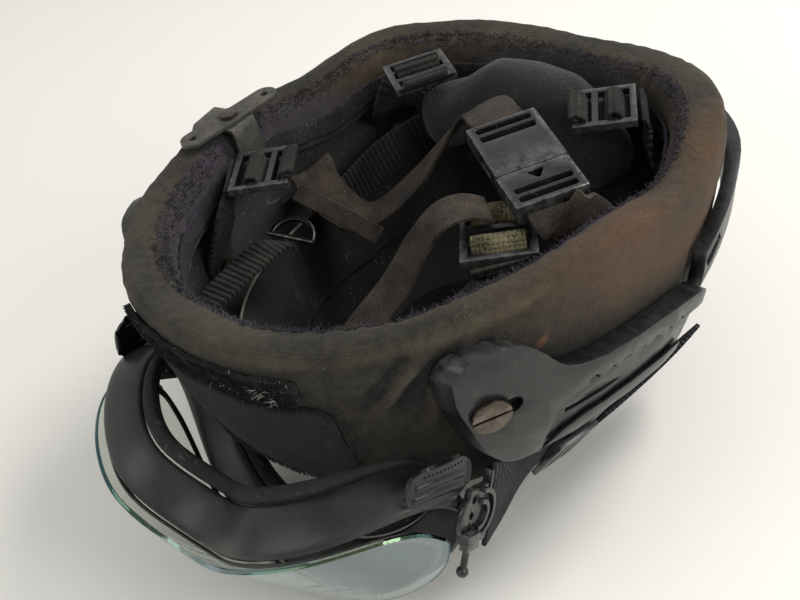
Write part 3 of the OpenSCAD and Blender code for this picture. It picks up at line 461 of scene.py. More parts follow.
# %% Floor
FLOOR_SIDE, FLOOR_DROP = 8, 0.0004
floor_finish, tree, shader, spot = start_material(
    "floor_paper", Roughness=0.75, Specular_IOR_Level=0.25)
tone = use(tree, fading, Place=spot["Object"], Size=1.2, Sharpness=0.4)
paper = blend_colour(tree, tone["Fade"], srgb(228, 226, 220), srgb(236, 235, 229))
tree.links.new(paper, shader.inputs["Base Color"])
bpy.ops.mesh.primitive_grid_add(x_subdivisions=8, y_subdivisions=8, size=FLOOR_SIDE,
                                location=(0, 0, -FLOOR_DROP))
floor = bpy.context.object
floor.name = "floor"
bpy.ops.object.transform_apply(location=True)
floor.data.materials.append(floor_finish)
print("floor", FLOOR_SIDE, "m wide")

# %% [markdown]
# ## Shape of the helmet
#
# Cloth has to follow the same wall as the solids. The wall is a rounded oval in plan and a
# rounded dome in profile, both written as powers, so a place on it needs only a bearing
# from the front, a height and a distance from the surface.

# %% The wall as a rule
HALF_LENGTH, HALF_WIDTH, RIM = 139.5, 120.5, 160.3
ROLL_OUT = 3.5
POWER = 2.4
DROP = RIM / math.cos(math.radians(3.6)) ** (2 / POWER)
EGG = 0.105
EAR_RISE, EAR_AT, EAR_SPREAD, NAPE_RISE = 10.4, 104.5, 12.7, 15.9


def signed(v, e):
    return math.copysign(abs(v) ** e, v)


def from_front(th):
    """Bearing from the front to either side, from 0 to 180 degrees."""
    return abs(th - 360 * round(th / 360))


def rim_height(th):
    """The rim is cut away over the ears and toward the nape."""
    turned = from_front(th)
    ear = EAR_RISE * math.exp(-((turned - EAR_AT) / EAR_SPREAD) ** 2)
    return RIM - ear - NAPE_RISE * max(0, (turned - 90) / 90)


def wall(th, z, d=0.0):
    """Point in millimetres at a bearing, a height and a distance outside the wall."""
    a = math.radians(th)
    y = -(HALF_LENGTH + d) * signed(math.cos(a), 2 / POWER)
    x = (HALF_WIDTH + d) * signed(math.sin(a), 2 / POWER)
    x *= 1 + EGG * y / (HALF_LENGTH + ROLL_OUT)
    c = max(0, (RIM - z) / (DROP + d))
    s = max(0, 1 - c ** POWER) ** (1 / POWER)
    return Vector((x * s, y * s, z))


# Rolled rim of the cover: height from the rim, then distance out of the wall
ROLL = [(-34, 0), (-26, 0.8), (-18, 2.6), (-10, 3.5), (-5.5, 3.15)]


def roll_d(z, th):
    """How far the cover's rolled rim stands out of the wall at that height."""
    return float(np.interp(z - rim_height(th), *zip(*ROLL)))


def rise_at(th, z):
    return wall(th, z + 1) - wall(th, z - 1)


def outward(th, z):
    side = wall(th + 1, z) - wall(th - 1, z)
    return side.cross(rise_at(th, z)).normalized()


def around(th):
    out = outward(th, 110)
    return Vector((-out.y, out.x, 0)).normalized()


print("rim at the brow, the ear and the nape", [round(rim_height(th), 1) for th in (0, 104, 180)])

# %% [markdown]
# ## Copies of the solids
#
# A solid comes as loose triangles. A copy is welded, its flat faces are joined again, and
# then it can be rounded: a bevel for moulded and cut pieces, a subdivision for rubber and
# cloth. The copy then stands for the solid. How sharply each point sticks out of its
# neighbours is stored on the mesh, and that is what the rubbed edges read.

# %% Select, read and move points
def only(piece):
    bpy.ops.object.select_all(action="DESELECT")
    piece.select_set(True)
    bpy.context.view_layer.objects.active = piece


def read(piece, word):
    values = np.empty(len(piece.data.vertices) * 3)
    piece.data.vertices.foreach_get(word, values)
    return values.reshape(-1, 3)


def points(piece):
    return read(piece, "co")


def normals(piece):
    return read(piece, "normal")


def move_to(piece, co):
    piece.data.vertices.foreach_set("co", np.asarray(co, np.float32).ravel())
    piece.data.update()


def store(piece, name, values):
    """Keeps one number on each point, for a finish to read."""
    attribute = piece.data.attributes.get(name) or piece.data.attributes.new(name, "FLOAT", "POINT")
    attribute.data.foreach_set("value", np.asarray(values, np.float32))


def smooth(piece, angle=None):
    """Shades smooth all over, or only across edges that turn less than the angle."""
    only(piece)
    if angle is None:
        bpy.ops.object.shade_smooth()
    else:
        bpy.ops.object.shade_smooth_by_angle(angle=math.radians(angle))


print("ready: only, points, normals, move_to, store, smooth")

# %% [markdown]
# The copy is welded and its flat triangles are joined again. Then it gets its finish and
# its body, and it names the solid that it stands for, which is no longer shown.

# %% Welded copy, finish and modifiers
def copy_of(node, name, join_angle=60.0):
    source = frame["nodes"][node]
    source.hide_viewport = False
    only(source)
    bpy.ops.object.duplicate()
    piece = bpy.context.object
    piece.name = piece.data.name = name
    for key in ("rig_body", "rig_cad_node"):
        del piece[key]
    piece.parent = None
    piece.data.materials.clear()
    if piece.data.has_custom_normals:
        bpy.ops.mesh.customdata_custom_splitnormals_clear()
    bpy.ops.object.mode_set(mode="EDIT")
    bpy.ops.mesh.select_all(action="SELECT")
    bpy.ops.mesh.remove_doubles(threshold=0.00001)
    bpy.ops.mesh.tris_convert_to_quads(face_threshold=math.radians(join_angle),
                                       shape_threshold=math.radians(180))
    bpy.ops.object.mode_set(mode="OBJECT")
    return piece


def settle(piece, slot, body, *nodes):
    """Gives a new piece its finish, its body and the solids that it stands for."""
    piece.data.materials.clear()
    piece.data.materials.append(finish[slot])
    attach(piece, body)
    if nodes:
        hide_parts(*nodes)


def apply(piece, kind, **values):
    only(piece)
    modifier = piece.modifiers.new(kind.lower(), kind)
    for key, value in values.items():
        setattr(modifier, key, value)
    bpy.ops.object.modifier_apply(modifier=modifier.name)


def subdivide(piece, levels, **values):
    apply(piece, "SUBSURF", levels=levels, render_levels=levels, **values)


# %% [markdown]
# Plastic rubs off where it sticks out. For each point, the slopes of its edges against its
# normal are averaged: a point on a ridge has them all falling away.

# %% Rubbed edges, bevelled and rounded copies
RUB_GAIN = 2.2


def mark_edges(piece, strength=1.0):
    """Stores on each point how far it sticks out, from 0 to 1, for the rubbed edges."""
    co, normal = points(piece), normals(piece)
    ends = np.empty(len(piece.data.edges) * 2, int)
    piece.data.edges.foreach_get("vertices", ends)
    ends = ends.reshape(-1, 2)
    way = co[ends[:, 1]] - co[ends[:, 0]]
    way /= np.maximum(np.linalg.norm(way, axis=1), 1e-9)[:, None]
    total = np.zeros(len(co))
    count = np.zeros(len(co))
    for end, sign in ((0, -1), (1, 1)):
        slope = np.einsum("ij,ij->i", way, normal[ends[:, end]])
        np.add.at(total, ends[:, end], sign * slope)
        np.add.at(count, ends[:, end], 1)
    store(piece, "edge", np.clip(strength * RUB_GAIN * total / np.maximum(count, 1), 0, 1))


def rigid(node, slot, bevel):
    """Copy of a moulded or cut solid, with its edges broken by a small bevel."""
    piece = copy_of(node, node + "_dressed", 1.0)
    if bevel:
        apply(piece, "BEVEL", width=bevel * MM, segments=2, limit_method="ANGLE",
              angle_limit=math.radians(35), use_clamp_overlap=True, miter_outer="MITER_ARC")
    smooth(piece, 38)
    mark_edges(piece)
    settle(piece, slot, body_of_node[node], node)


def rounded(node, slot, levels):
    """Copy of a moulded rubber solid, smoothed as a whole."""
    piece = copy_of(node, node + "_dressed")
    subdivide(piece, levels)
    smooth(piece)
    mark_edges(piece, 1.5)
    settle(piece, slot, body_of_node[node], node)


print("edges are marked with a gain of", RUB_GAIN)

# %% [markdown]
# ## Rails, bolts and other hard pieces
#
# Rails, locks and the buckle are moulded, and bolts and the clip are cut from metal, so each
# keeps its outline and only has its edges broken. The width of that bevel decides how soft
# a piece looks. Frame, foam and trim are rubber or foam and are rounded as a whole.

# %% Hard pieces
# Pieces on both sides, then single ones: finish and width of the bevel in millimetres
PAIRS = {"rail_{}": ("rail_plastic", 0.9), "rail_blade_{}": ("rail_plastic", 0.5),
         "rail_tail_{}": ("rail_plastic", 0.8), "outrigger_{}": ("buckle_plastic", 0.5),
         "latch_lever_{}": ("buckle_plastic", 0.5), "adjuster_front_{}": ("buckle_plastic", 0.6),
         "adjuster_rear_{}": ("buckle_plastic", 0.6)}
hard_pieces = {
    "rail_bolts": ("bolt_steel", 0.35), "strap_slider": ("buckle_plastic", 0.7),
    "brim_clip_hook": ("clip_metal", 0.4), "brim_clip_plate": ("clip_metal", 0.5),
    "brim_clip_rivet": ("bolt_steel", 0.5), "anchor_rivets": ("bolt_steel", 0.4),
    "buckle_socket": ("buckle_plastic", 0.9), "buckle_plug": ("buckle_plastic", 0.9),
    "buckle_prong_upper": ("buckle_plastic", 0.6), "buckle_prong_lower": ("buckle_plastic", 0.6),
    "d_ring": ("ring_steel", 0.0)}
hard_pieces |= {name.format(side): look for name, look in PAIRS.items() for side in ("right", "left")}
for node, (slot, bevel) in hard_pieces.items():
    rigid(node, slot, bevel)
for node, slot, levels in (("goggle_frame", "goggle_rubber", 2), ("lens_retainer", "goggle_rubber", 2),
                           ("face_foam", "foam", 2), ("edge_trim", "trim_rubber", 1),
                           ("ballistic_shell", "shell", 1), ("goggle_lens", "goggle_lens", 2)):
    rounded(node, slot, levels)
print(len(hard_pieces), "hard pieces with bevels")

# %% [markdown]
# A visor shows every dent in its gloss. Its points are therefore put back on the two exact
# cylinders that the frame is bent to, after the subdivision has smoothed its outline. The
# points' normals tell which of the two cylinders each point belongs to.

# %% True curve of the lens
TILT, AXIS, GOGGLE_R = math.radians(33), 5.5, 108
LENS_BACK, LENS_FRONT, FACING = (GOGGLE_R + 3.1) * MM, (GOGGLE_R + 5.3) * MM, 0.4
lens = bpy.data.objects["goggle_lens_dressed"]
co = points(lens)
forward = -(co[:, 1] * math.cos(TILT) + co[:, 2] * math.sin(TILT)) - AXIS * MM
height = -co[:, 1] * math.sin(TILT) + co[:, 2] * math.cos(TILT)
radius = np.hypot(co[:, 0], forward)
turn = np.arctan2(co[:, 0], forward)
radial = np.stack((np.sin(turn), -np.cos(turn) * math.cos(TILT),
                   -np.cos(turn) * math.sin(TILT)), axis=1)
outside = np.einsum("ij,ij->i", normals(lens), radial)
true_r = np.select([outside > FACING, outside < -FACING], [LENS_FRONT, LENS_BACK],
                   np.clip(radius, LENS_BACK, LENS_FRONT))
reach = AXIS * MM + true_r * np.cos(turn)
move_to(lens, np.stack((true_r * np.sin(turn), -height * math.sin(TILT) - reach * math.cos(TILT),
                        height * math.cos(TILT) - reach * math.sin(TILT)), axis=1))
smooth(lens, 40)
print("lens", round(float(true_r.max() / MM), 1), "mm from its axis")

# %% [markdown]
# Cloth needs three more things: a soft noise to push it with, the bearing of each point,
# and a map of the wall in metres, so that the weave keeps its size all round.

# %% Noise and a map on the wall
UP_RADIUS, ROUND_RADIUS = 0.14, 0.125


def noisy(co, size, seed=0.0):
    """Soft noise from -1 to 1 at each point; size is its wavelength in millimetres."""
    shift = Vector((seed * 17.3, seed * 9.1, seed * 5.7))
    return np.array([noise.noise(Vector(p) / (size * MM) + shift) for p in co])


def bearings(co):
    return np.degrees(np.arctan2(co[:, 0] / (HALF_WIDTH * MM), -co[:, 1] / (HALF_LENGTH * MM)))


def map_wall(piece):
    """Map in metres: bearing round the helmet, then the way up the wall."""
    co = points(piece)
    th = np.radians(bearings(co))
    radius = np.linalg.norm(co[:, :2], axis=1)
    climb = np.arctan2(radius, RIM * MM - co[:, 2]) * UP_RADIUS
    layer = piece.data.uv_layers.active or piece.data.uv_layers.new(name="map")
    values = np.empty((len(piece.data.loops), 2))
    for face in piece.data.polygons:
        ring = [piece.data.loops[i].vertex_index for i in face.loop_indices]
        turn = th[ring]
        if turn.max() - turn.min() > math.pi:
            turn = np.where(turn < 0, turn + 2 * math.pi, turn)
        values[list(face.loop_indices), 0] = turn * ROUND_RADIUS
        values[list(face.loop_indices), 1] = climb[ring]
    layer.data.foreach_set("uv", values.ravel())


print("one turn of the map is", round(2 * math.pi * ROUND_RADIUS, 3), "m")

# %% [markdown]
# ## The fabric cover
#
# The cover is one skin pulled over the shell and rolled over its rim. The copy is smoothed,
# then each point moves along its normal by a rule: gathers where the cloth turns over the
# rim, slow waves where it is slack, and next to nothing where rail, badge or strap lie.

# %% Cover, its gathers and its slack
FLAT_CROWN = 0.012
cover = copy_of("fabric_cover", "cover_skin")
subdivide(cover, 2)
co = points(cover)
out = normals(cover)
th = bearings(co)
above = (co[:, 2] - np.array([rim_height(t) for t in th]) * MM) / MM
radius = np.linalg.norm(co[:, :2] / (HALF_WIDTH * MM, HALF_LENGTH * MM), axis=1)
roll_share = np.clip((above + 34) / 14, 0, 1)
inner_side = np.clip((1.0 - radius) / 0.06, 0, 1) * (above > -32)
gather = np.sin(np.radians(th) * 74 + 3 * noisy(co, 30, 1)) * np.clip(0.5 + noisy(co, 22, 2), 0, 1)
slack = noisy(co, 34, 3)
fine_slack = noisy(co * (1, 1, 2.2), 11, 4)
push = roll_share * (1.1 * slack + 0.35 * fine_slack) + roll_share * gather * (0.35 + 0.55 * inner_side)
push += (1 - roll_share) * np.minimum(0.25, 0.7 * slack + 0.3 * fine_slack - 0.15)
push[co[:, 2] < FLAT_CROWN] = 0
print("cover", len(cover.data.polygons), "faces, pushed out up to", round(push.max(), 2), "mm")

# %% [markdown]
# In front of both rails and at the nape the cloth has set in long creases. Each is a line
# on the unrolled wall, with a raised fold on the line and a shallow furrow on both sides.

# %% Creases
# Two ends as places near the wall, then depth and half width, all in millimetres
CREASES = [((90.5, -96.5, 155.5), (68.6, -113.7, 120.6), 2.3, 3.0),
           ((103.7, -83.9, 153.0), (94, -95.0, 133), 2.2, 2.4),
           ((91.3, -90.8, 140), (83.5, -101.2, 108.4), 1.8, 3.0),
           ((97.0, -88.0, 151), (84, -102.0, 124), 1.4, 2.0),
           ((-92, -90, 150), (-74, -110, 122), 1.8, 2.8), ((30, 128, 128), (12, 132, 100), 1.0, 2.6)]
ARC_RADIUS = 118


def unrolled(place):
    """Place on the unrolled wall: the way round and the height, in millimetres."""
    bearing = bearings(np.array([place]) * MM)[0]
    return np.array((math.radians(bearing) * ARC_RADIUS, place[2]))


painted_crease_light_and_shade = np.zeros(len(co))
arc, height = np.radians(th) * ARC_RADIUS, co[:, 2] / MM
for start, end, deep, wide in CREASES:
    first = unrolled(start)
    way = unrolled(end) - first
    share = ((arc - first[0]) * way[0] + (height - first[1]) * way[1]) / (way @ way)
    off = np.hypot(arc - first[0] - share * way[0], height - first[1] - share * way[1])
    along = np.clip(4 * share * (1 - share), 0, 1) * (share > 0) * (share < 1)
    fold = along * (np.exp(-(off / wide) ** 2) - 0.8 * np.exp(-((off - 1.8 * wide) / wide) ** 2))
    push += deep * fold
    # painted light and shade on the creases: paler along their crests, darker in their furrows
    painted_crease_light_and_shade += 0.16 * deep * fold
move_to(cover, co + out * push[:, None] * MM)
map_wall(cover)
print(len(CREASES), "creases")

# %% [markdown]
# The cover's colour is uneven. The ridge of the roll is paler, the sides have browned, and a rust
# stain lies beside the rail. Light and shade are painted on the creases: paler crests, darker
# furrows. Each of these is a mask on the points, and the cloth's finish reads them as its share
# of fading and of each tint.

# %% Wear of the cover, and painted light and shade on its creases
RUST, RUST_RADIUS = (110.2, -53.6, 131.1), 3.0
ridge = np.exp(-((above + 4.0) / 3.5) ** 2) * np.clip(0.75 + noisy(co, 25, 6), 0, 1)
front = np.clip(1 - np.abs(th) / 75, 0, 1)
sides = np.exp(-((np.abs(th) - 100) / 42) ** 2)
patches = np.clip(noisy(co, 60, 5) * 1.2 + 0.65, 0, 1)
brown = sides * patches * np.clip((above + 62) / 34, 0, 1)
inner = np.clip((0.905 - radius) / 0.02 + 0.3 * noisy(co, 4, 8), 0, 1) * (above > -34)
rust = np.exp(-(np.linalg.norm(co / MM - np.array(RUST), axis=1) / RUST_RADIUS) ** 4)
rust *= np.clip(0.9 + 2.0 * noisy(co, 3, 9), 0, 1)
roll_part = np.clip((above + 30) / 12, 0, 1)
# worn holds the real fading and also the painted light and shade of the creases
store(cover, "worn", painted_crease_light_and_shade + np.maximum.reduce([
    0.55 * ridge, 0.62 * brown, 0.28 * roll_part * patches, 0.34 * front * roll_part,
    0.6 * inner, rust]))
store(cover, "brown", np.clip(1.1 * brown + 0.35 * front * (1 - roll_part), 0, 1))
store(cover, "hem", inner)
store(cover, "rust", rust)
smooth(cover)
settle(cover, "cover_cloth", "helmet", "fabric_cover")
print("browned share of the cover", round(float(brown.mean()), 3))

# %% [markdown]
# ## Hem, loop strip and badge
#
# The cover's cut edge is bound by a hem, and the brow carries a strip of loops and a badge
# patch. All three are thin cloth on the wall, so a little unevenness is all their shape
# needs, and the small sewn things further down do the rest.

# %% Trim cloth
# Node, finish, then wavelength and depth of the unevenness in millimetres
TRIMS = (("cover_hem", "hem_cloth", 5, 0.7), ("loop_strip", "pile", 4, 0.9),
         ("badge_patch", "badge_cloth", 18, 0.5))
for node, slot, size, amount in TRIMS:
    piece = copy_of(node, node + "_cloth")
    subdivide(piece, 2, subdivision_type="SIMPLE")
    co = points(piece)
    move_to(piece, co + normals(piece) * (noisy(co, size, 7) * amount * MM)[:, None])
    map_wall(piece)
    smooth(piece)
    settle(piece, slot, "helmet", node)
print("trim cloth on", [trim[0] for trim in TRIMS])

# %% [markdown]
# ## Webbing and straps
#
# Webbing is a flat strip on a smooth route. A grid of the strip's length is laid on the
# route row by row, given its thickness, and its map is in metres, so threads and ribs keep
# their size. Stations hold a point and the way across the strip.

# %% Route
def between(p, i, t):
    """Smooth curve through the points p, at the share t between point i and the next."""
    n = len(p) - 1
    a, b, c, d = p[max(0, i - 1)], p[i], p[min(n, i + 1)], p[min(n, i + 2)]
    return 0.5 * (2 * b + (c - a) * t + (2 * a - 5 * b + 4 * c - d) * t * t
                  + (3 * b - a - 3 * c + d) * t ** 3)


def smooth_route(p, steps):
    p = [Vector(v) for v in p]
    return [between(p, i, k / steps) for i in range(len(p) - 1) for k in range(steps)] + [p[-1]]


print("three points in steps of four give", len(smooth_route([(0, 0, 0), (1, 0, 0), (2, 1, 0)], 4)), "places")

# %% [markdown]
# The strip itself starts as a flat grid with one row for each place of the route. Its rows
# are moved there, its map is written in metres, and Solidify and Bevel give it the body
# of woven webbing. A ragged strap falls short of its width by a different bit in each row.

# %% Strip
# Share of the width where an edge begins, and the bevel of the edge in millimetres
EDGE_SHARE, EDGE_ROUND = 0.45, 0.45


def worn_edges(rows, ragged, seed, hangs):
    """How far each row falls short at both edges; hangs lets the first edge sag in waves."""
    rng = random.Random(seed)
    edge = [[rng.uniform(0, ragged) for _ in range(rows)] for _ in range(2)]
    if hangs:
        waves = [max(0, math.sin(0.8 * j) + math.sin(0.37 * j + 1)) / 2 for j in range(rows)]
        edge[0] = [e - hang * wave for e, hang, wave in zip(edge[0], hangs, waves)]
    return edge


def strip(name, centres, acrosses, width, thick, columns=8, ragged=0.0, seed=1, hangs=None):
    """A band through the centres, in millimetres, with its map in metres."""
    rows = len(centres)
    bpy.ops.mesh.primitive_grid_add(x_subdivisions=columns, y_subdivisions=rows - 1, size=1)
    piece = bpy.context.object
    piece.name = piece.data.name = name
    length = [0.0]
    for here, ahead in zip(centres, centres[1:]):
        length.append(length[-1] + (ahead - here).length)
    edge = worn_edges(rows, ragged, seed, hangs)
    flat = {}
    for index, vertex in enumerate(piece.data.vertices):
        j, i = divmod(index, columns + 1)
        way = (centres[min(rows - 1, j + 1)] - centres[max(0, j - 1)]).normalized()
        across = (acrosses[j] - way * acrosses[j].dot(way)).normalized()
        u = i / columns - 0.5
        reach = width / 2 - edge[0 if u < 0 else 1][j] * (abs(u) > EDGE_SHARE)
        vertex.co = (centres[j] + across * (2 * u * reach)) * MM
        flat[index] = (u * width * MM, length[j] * MM)
    layer = piece.data.uv_layers.active
    for loop in piece.data.loops:
        layer.data[loop.index].uv = flat[loop.vertex_index]
    apply(piece, "SOLIDIFY", thickness=thick * MM, offset=0)
    apply(piece, "BEVEL", width=EDGE_ROUND * MM, segments=2, limit_method="ANGLE",
          angle_limit=math.radians(60))
    smooth(piece)
    return piece


def webbing(name, stations, width, thick, slot, nodes, steps=8, body="helmet"):
    centres, acrosses = (smooth_route(row, steps) for row in zip(*stations))
    settle(strip(name, centres, acrosses, width, thick), slot, body, *nodes)


print("webbing helpers ready")

# %% [markdown]
# Four anchor webs come out from under the liner, rise to the rim and turn in to the ladder
# locks. Each starts flat on the wall, so its first stations take their place from the wall
# and its last ones from the lock's own middle and direction.

# %% Anchor webs
WEB, WEB_THICK = 25, 1.8
LINER = -11.6
web_seat = LINER - WEB_THICK / 2 - 1.1
LOCK_HALF = 15
# Middle of each ladder lock, the way it points, and the bearing its web comes from
ADJUSTERS = [((68, -23, 148), (-16, 21, 3), 60), ((-69, -33, 150), (17, 13, 0), -64),
             ((52, 80, 146), (-13, -9, 0), 136), ((-60, 74, 146), (15, -10, 0), -126)]


def seated(th, z, lift=0.0):
    """Station of a web that lies flat on the liner."""
    return wall(th, z, web_seat - lift), around(th)


for k, (middle, way, th) in enumerate(ADJUSTERS):
    way = Vector(way).normalized()
    end = Vector(middle) - way * (LOCK_HALF + WEB_THICK / 2 + 1.7)
    across = way.cross(Vector((0, 0, 1))).normalized()
    if across.dot(around(th)) < 0:
        across = -across
    webbing(f"anchor_web_{k}", [
        seated(th, 96), seated(th, 108), (wall(th, rim_height(th) - 30, -26.7), around(th)),
        (end - way * 1.5 - Vector((0, 0, 9)), across), (end, across)],
        WEB, WEB_THICK, "webbing_black", ["anchor_webs"])
print(len(ADJUSTERS), "anchor webs")

# %% [markdown]
# The chin webs are one brown band in three runs: from the right wall to the buckle's plug,
# from its socket down into the hollow and up the left wall, and a narrower loop from the
# front. Their routes are listed points, as in the part's source. A short black loop
# holds the D ring.

# %% Chin webs and the ring's loop
BUCKLE_TO_SOCKET, BUCKLE_TO_PLUG = 20, 44.4
buckle_mid = Vector((49, 18, 161))
buckle_way = Vector((0.84, -0.54, -0.06)).normalized()
buckle_across = Vector((0, 0, 1)).cross(buckle_way).normalized()
socket_end = buckle_mid - buckle_way * BUCKLE_TO_SOCKET
plug_end = buckle_mid + buckle_way * BUCKLE_TO_PLUG
webbing("chin_web_right_cloth", [
    (plug_end + buckle_way * 1.6, buckle_across),
    (plug_end + buckle_way * 4 + Vector((0, 0, -0.4)), buckle_across),
    (plug_end + buckle_way * 3.6 + Vector((2.6, 0.2, -2.6)), buckle_across),
    ((93, 0, 149), (0.3, 1, 0)), ((94, 8, 139), (0.1, 1, 0)), ((94.5, 16, 125), (0.05, 1, 0)),
    seated(97, 106, 1.5), seated(98, 94)], WEB, WEB_THICK, "webbing_brown", ["chin_web_right"])
webbing("chin_web_left_cloth", [
    (socket_end - buckle_way * 0.6, buckle_across), (socket_end - buckle_way * 9, buckle_across),
    ((8, 43, 158), (0.3, 0.95, 0)), ((-14, 43, 138), (-0.3, 0.95, 0)),
    ((-34, 26, 112), (-0.6, 0.8, 0)), ((-54, 8, 98), (-0.4, 0.92, 0)),
    ((-74, 4, 108), (0, 1, 0)), ((-88, 9, 117), (0, 1, 0)),
    (wall(-96, 108, web_seat - 5), (0, 1, 0)), (wall(-97, 96, web_seat - 0.8), (0, 1, 0))],
    WEB, WEB_THICK, "webbing_brown", ["chin_web_left"])
webbing("chin_web_loop_cloth", [
    (wall(18, 104, web_seat), (1, 0.1, 0)), ((28, -84, 118), (1, -0.15, 0)),
    ((33, -56, 132), (1, -0.3, 0)), ((40, -43, 149), (0.85, -0.5, 0)),
    ((46, -33, 158), (0.8, -0.6, 0)), ((53, -24, 159), (0.8, -0.6, 0)),
    ((59, -17, 154.6), (0.8, -0.6, 0))],
    WEB * 0.8, WEB_THICK, "webbing_brown", ["chin_web_loop"])
ring_mid = Vector((-57, -38, 116))
webbing("ring_loop_cloth", [
    (ring_mid + Vector((1, -3.2, -1)), (1, 0.3, 0)), ((-60, -56, 118), (1, 0.3, 0)),
    seated(-38, 112, 4), seated(-40, 100)], 18, WEB_THICK, "webbing_black", ["ring_loop"])
print("buckle's ends are", round((plug_end - socket_end).length, 1), "mm apart")

# %% [markdown]
# Each ladder lock holds a short piece of webbing that goes up through one slot, over a bar
# and down the next. It is drawn in the lock's own directions and rides with it.

# %% Webbing through the ladder locks
LOCKS = ["front_right", "front_left", "rear_right", "rear_left"]
# Side view of the webbing: the way along the lock, then the way up
WRAP = [(-14, -4.2), (-9.6, -3.2), (-8.0, 0.4), (-6.6, 3.0), (-4.5, 3.8), (-2.2, 3.0), (-0.8, 0.2),
        (0.4, -3.0), (4.0, -4.2), (7.6, -3.0), (8.9, 0.4), (10.4, 3.2), (13.5, 4.2), (17.0, 3.4)]
for name, (middle, way, th) in zip(LOCKS, ADJUSTERS):
    way = Vector(way).normalized()
    across = Vector((0, 0, 1)).cross(way).normalized()
    normal = way.cross(across)
    slot = "webbing_olive" if name == "front_right" else "webbing_black"
    stations = [(Vector(middle) + way * x + normal * z, across) for x, z in WRAP]
    webbing(f"lock_webbing_{name}", stations, WEB - 1.5, 1.5, slot, [], steps=5,
            body="adjuster_" + name)
print(len(LOCKS), "locks threaded")

# %% [markdown]
# The goggles' elastic strap goes straight from each outrigger to the wall and then lies
# round the back of the helmet. It sits higher at the nape than at the sides.

# %% Route of the elastic strap
STRAP, STRAP_THICK, STRAP_GAP = 38, 2.2, 1.1
hinge = Vector((97.881, -110.154, 75.721))
outrigger_way = Vector((-0.14, 0.84, -0.52)).normalized()
bar_lean = Vector((1, 0, 0)).cross(outrigger_way).normalized()
strap_end = hinge + Vector((2.2, 0, 0)) + outrigger_way * 22.3


def bearing_of_y(y, z):
    """Bearing of the place on the wall that lies at y, at a height."""
    c = max(0, (RIM - z) / DROP)
    s = (1 - c ** POWER) ** (1 / POWER)
    a = math.degrees(math.acos(min(1, abs(y) / (HALF_LENGTH * s)) ** (POWER / 2)))
    return a if y < 0 else 180 - a


strap_meet = bearing_of_y(-42, 45)


def strap_z(th):
    turned = from_front(th)
    return 38 + 5 * math.exp(-((turned - strap_meet) / 12) ** 2) + 14 * max(0, (turned - 100) / 80)


def strap_spot(th, lift):
    z = strap_z(th)
    return wall(th, z, lift), rise_at(th, z).normalized()


middle_gap = STRAP_GAP + STRAP_THICK / 2
round_back = [strap_spot(strap_meet + (360 - 2 * strap_meet) * i / 66, middle_gap)
              for i in range(67)]
route = list(round_back)
for side, first in ((1, 0), (-1, -1)):
    bar = Vector((side * (strap_end.x + STRAP_THICK / 2), strap_end.y, strap_end.z))
    halfway = tuple(a.lerp(b, 0.5) for a, b in zip((bar, bar_lean), round_back[first]))
    route = [(bar, bar_lean), halfway] + route if side == 1 else route + [halfway, (bar, bar_lean)]
centres, acrosses = ([row[k] for row in route] for k in (0, 1))
print("strap is", round(sum((b - a).length for a, b in zip(centres, centres[1:]))), "mm long")

# %% [markdown]
# The old elastic sags in waves along its lower edge, but not beside the slider, where the
# doubled strap holds it flat. Its free end lies over it there and lifts toward its tip.

# %% Elastic strap and its tail
SAG, HELD = 7, (66, 124)
hangs = []
for centre in centres:
    turned = abs(bearings(np.array([centre]) * MM)[0])
    hangs.append(0 if HELD[0] < turned < HELD[1] and centre.x > 0 else SAG)
strap = strip("goggle_strap_cloth", centres, acrosses, STRAP, STRAP_THICK, columns=12,
              ragged=1.0, hangs=hangs)
settle(strap, "strap_cloth", "helmet", "goggle_strap")
tail_gap = STRAP_GAP + STRAP_THICK + 0.7 + STRAP_THICK / 2
tail = [strap_spot(th, tail_gap + 5 * ((th - 84) / 30) ** 2) for th in np.linspace(84, 114, 26)]
piece = strip("strap_tail_cloth", [t[0] for t in tail], [t[1] for t in tail], STRAP - 3.6,
              STRAP_THICK, columns=12, ragged=1.6, seed=5)
settle(piece, "strap_cloth", "helmet", "strap_tail")
print("strap of", len(strap.data.polygons), "faces")

# %% [markdown]
# ## Small sewn things
#
# A stitch is modelled once and copied to a list of places, each with its way along and its
# way up. Thread ends and pile are the same: one bent hair, copied with small changes.

# %% Stitch and hair
def base_mesh(piece):
    """Points and faces of a small shape, which is then no longer needed as an object."""
    co = points(piece)
    faces = [tuple(f.vertices) for f in piece.data.polygons]
    bpy.data.objects.remove(piece)
    return co, faces


bpy.ops.mesh.primitive_uv_sphere_add(segments=6, ring_count=4, radius=1)
STITCH = base_mesh(bpy.context.object)
bpy.ops.mesh.primitive_cone_add(vertices=3, radius1=1, radius2=0.5, depth=1, location=(0, 0, 0.5))
hair = bpy.context.object
bpy.ops.object.transform_apply(location=True)
bpy.ops.object.mode_set(mode="EDIT")
bpy.ops.mesh.select_all(action="SELECT")
bpy.ops.mesh.subdivide(number_cuts=1)
bpy.ops.object.mode_set(mode="OBJECT")
co = points(hair)
co[:, 0] += 1.6 * co[:, 2] ** 2
move_to(hair, co)
HAIR = base_mesh(hair)
print("stitch:", len(STITCH[1]), "faces, hair:", len(HAIR[1]))

# %% [markdown]
# A thousand stitches are one mesh: the small shape's points are turned and moved to each
# place with one matrix, and all of them are joined in a single list of faces.

# %% Copies of a small shape
def from_faces(name, verts, faces):
    mesh = bpy.data.meshes.new(name)
    mesh.from_pydata(verts, [], faces)
    piece = bpy.data.objects.new(name, mesh)
    bpy.context.scene.collection.objects.link(piece)
    return piece


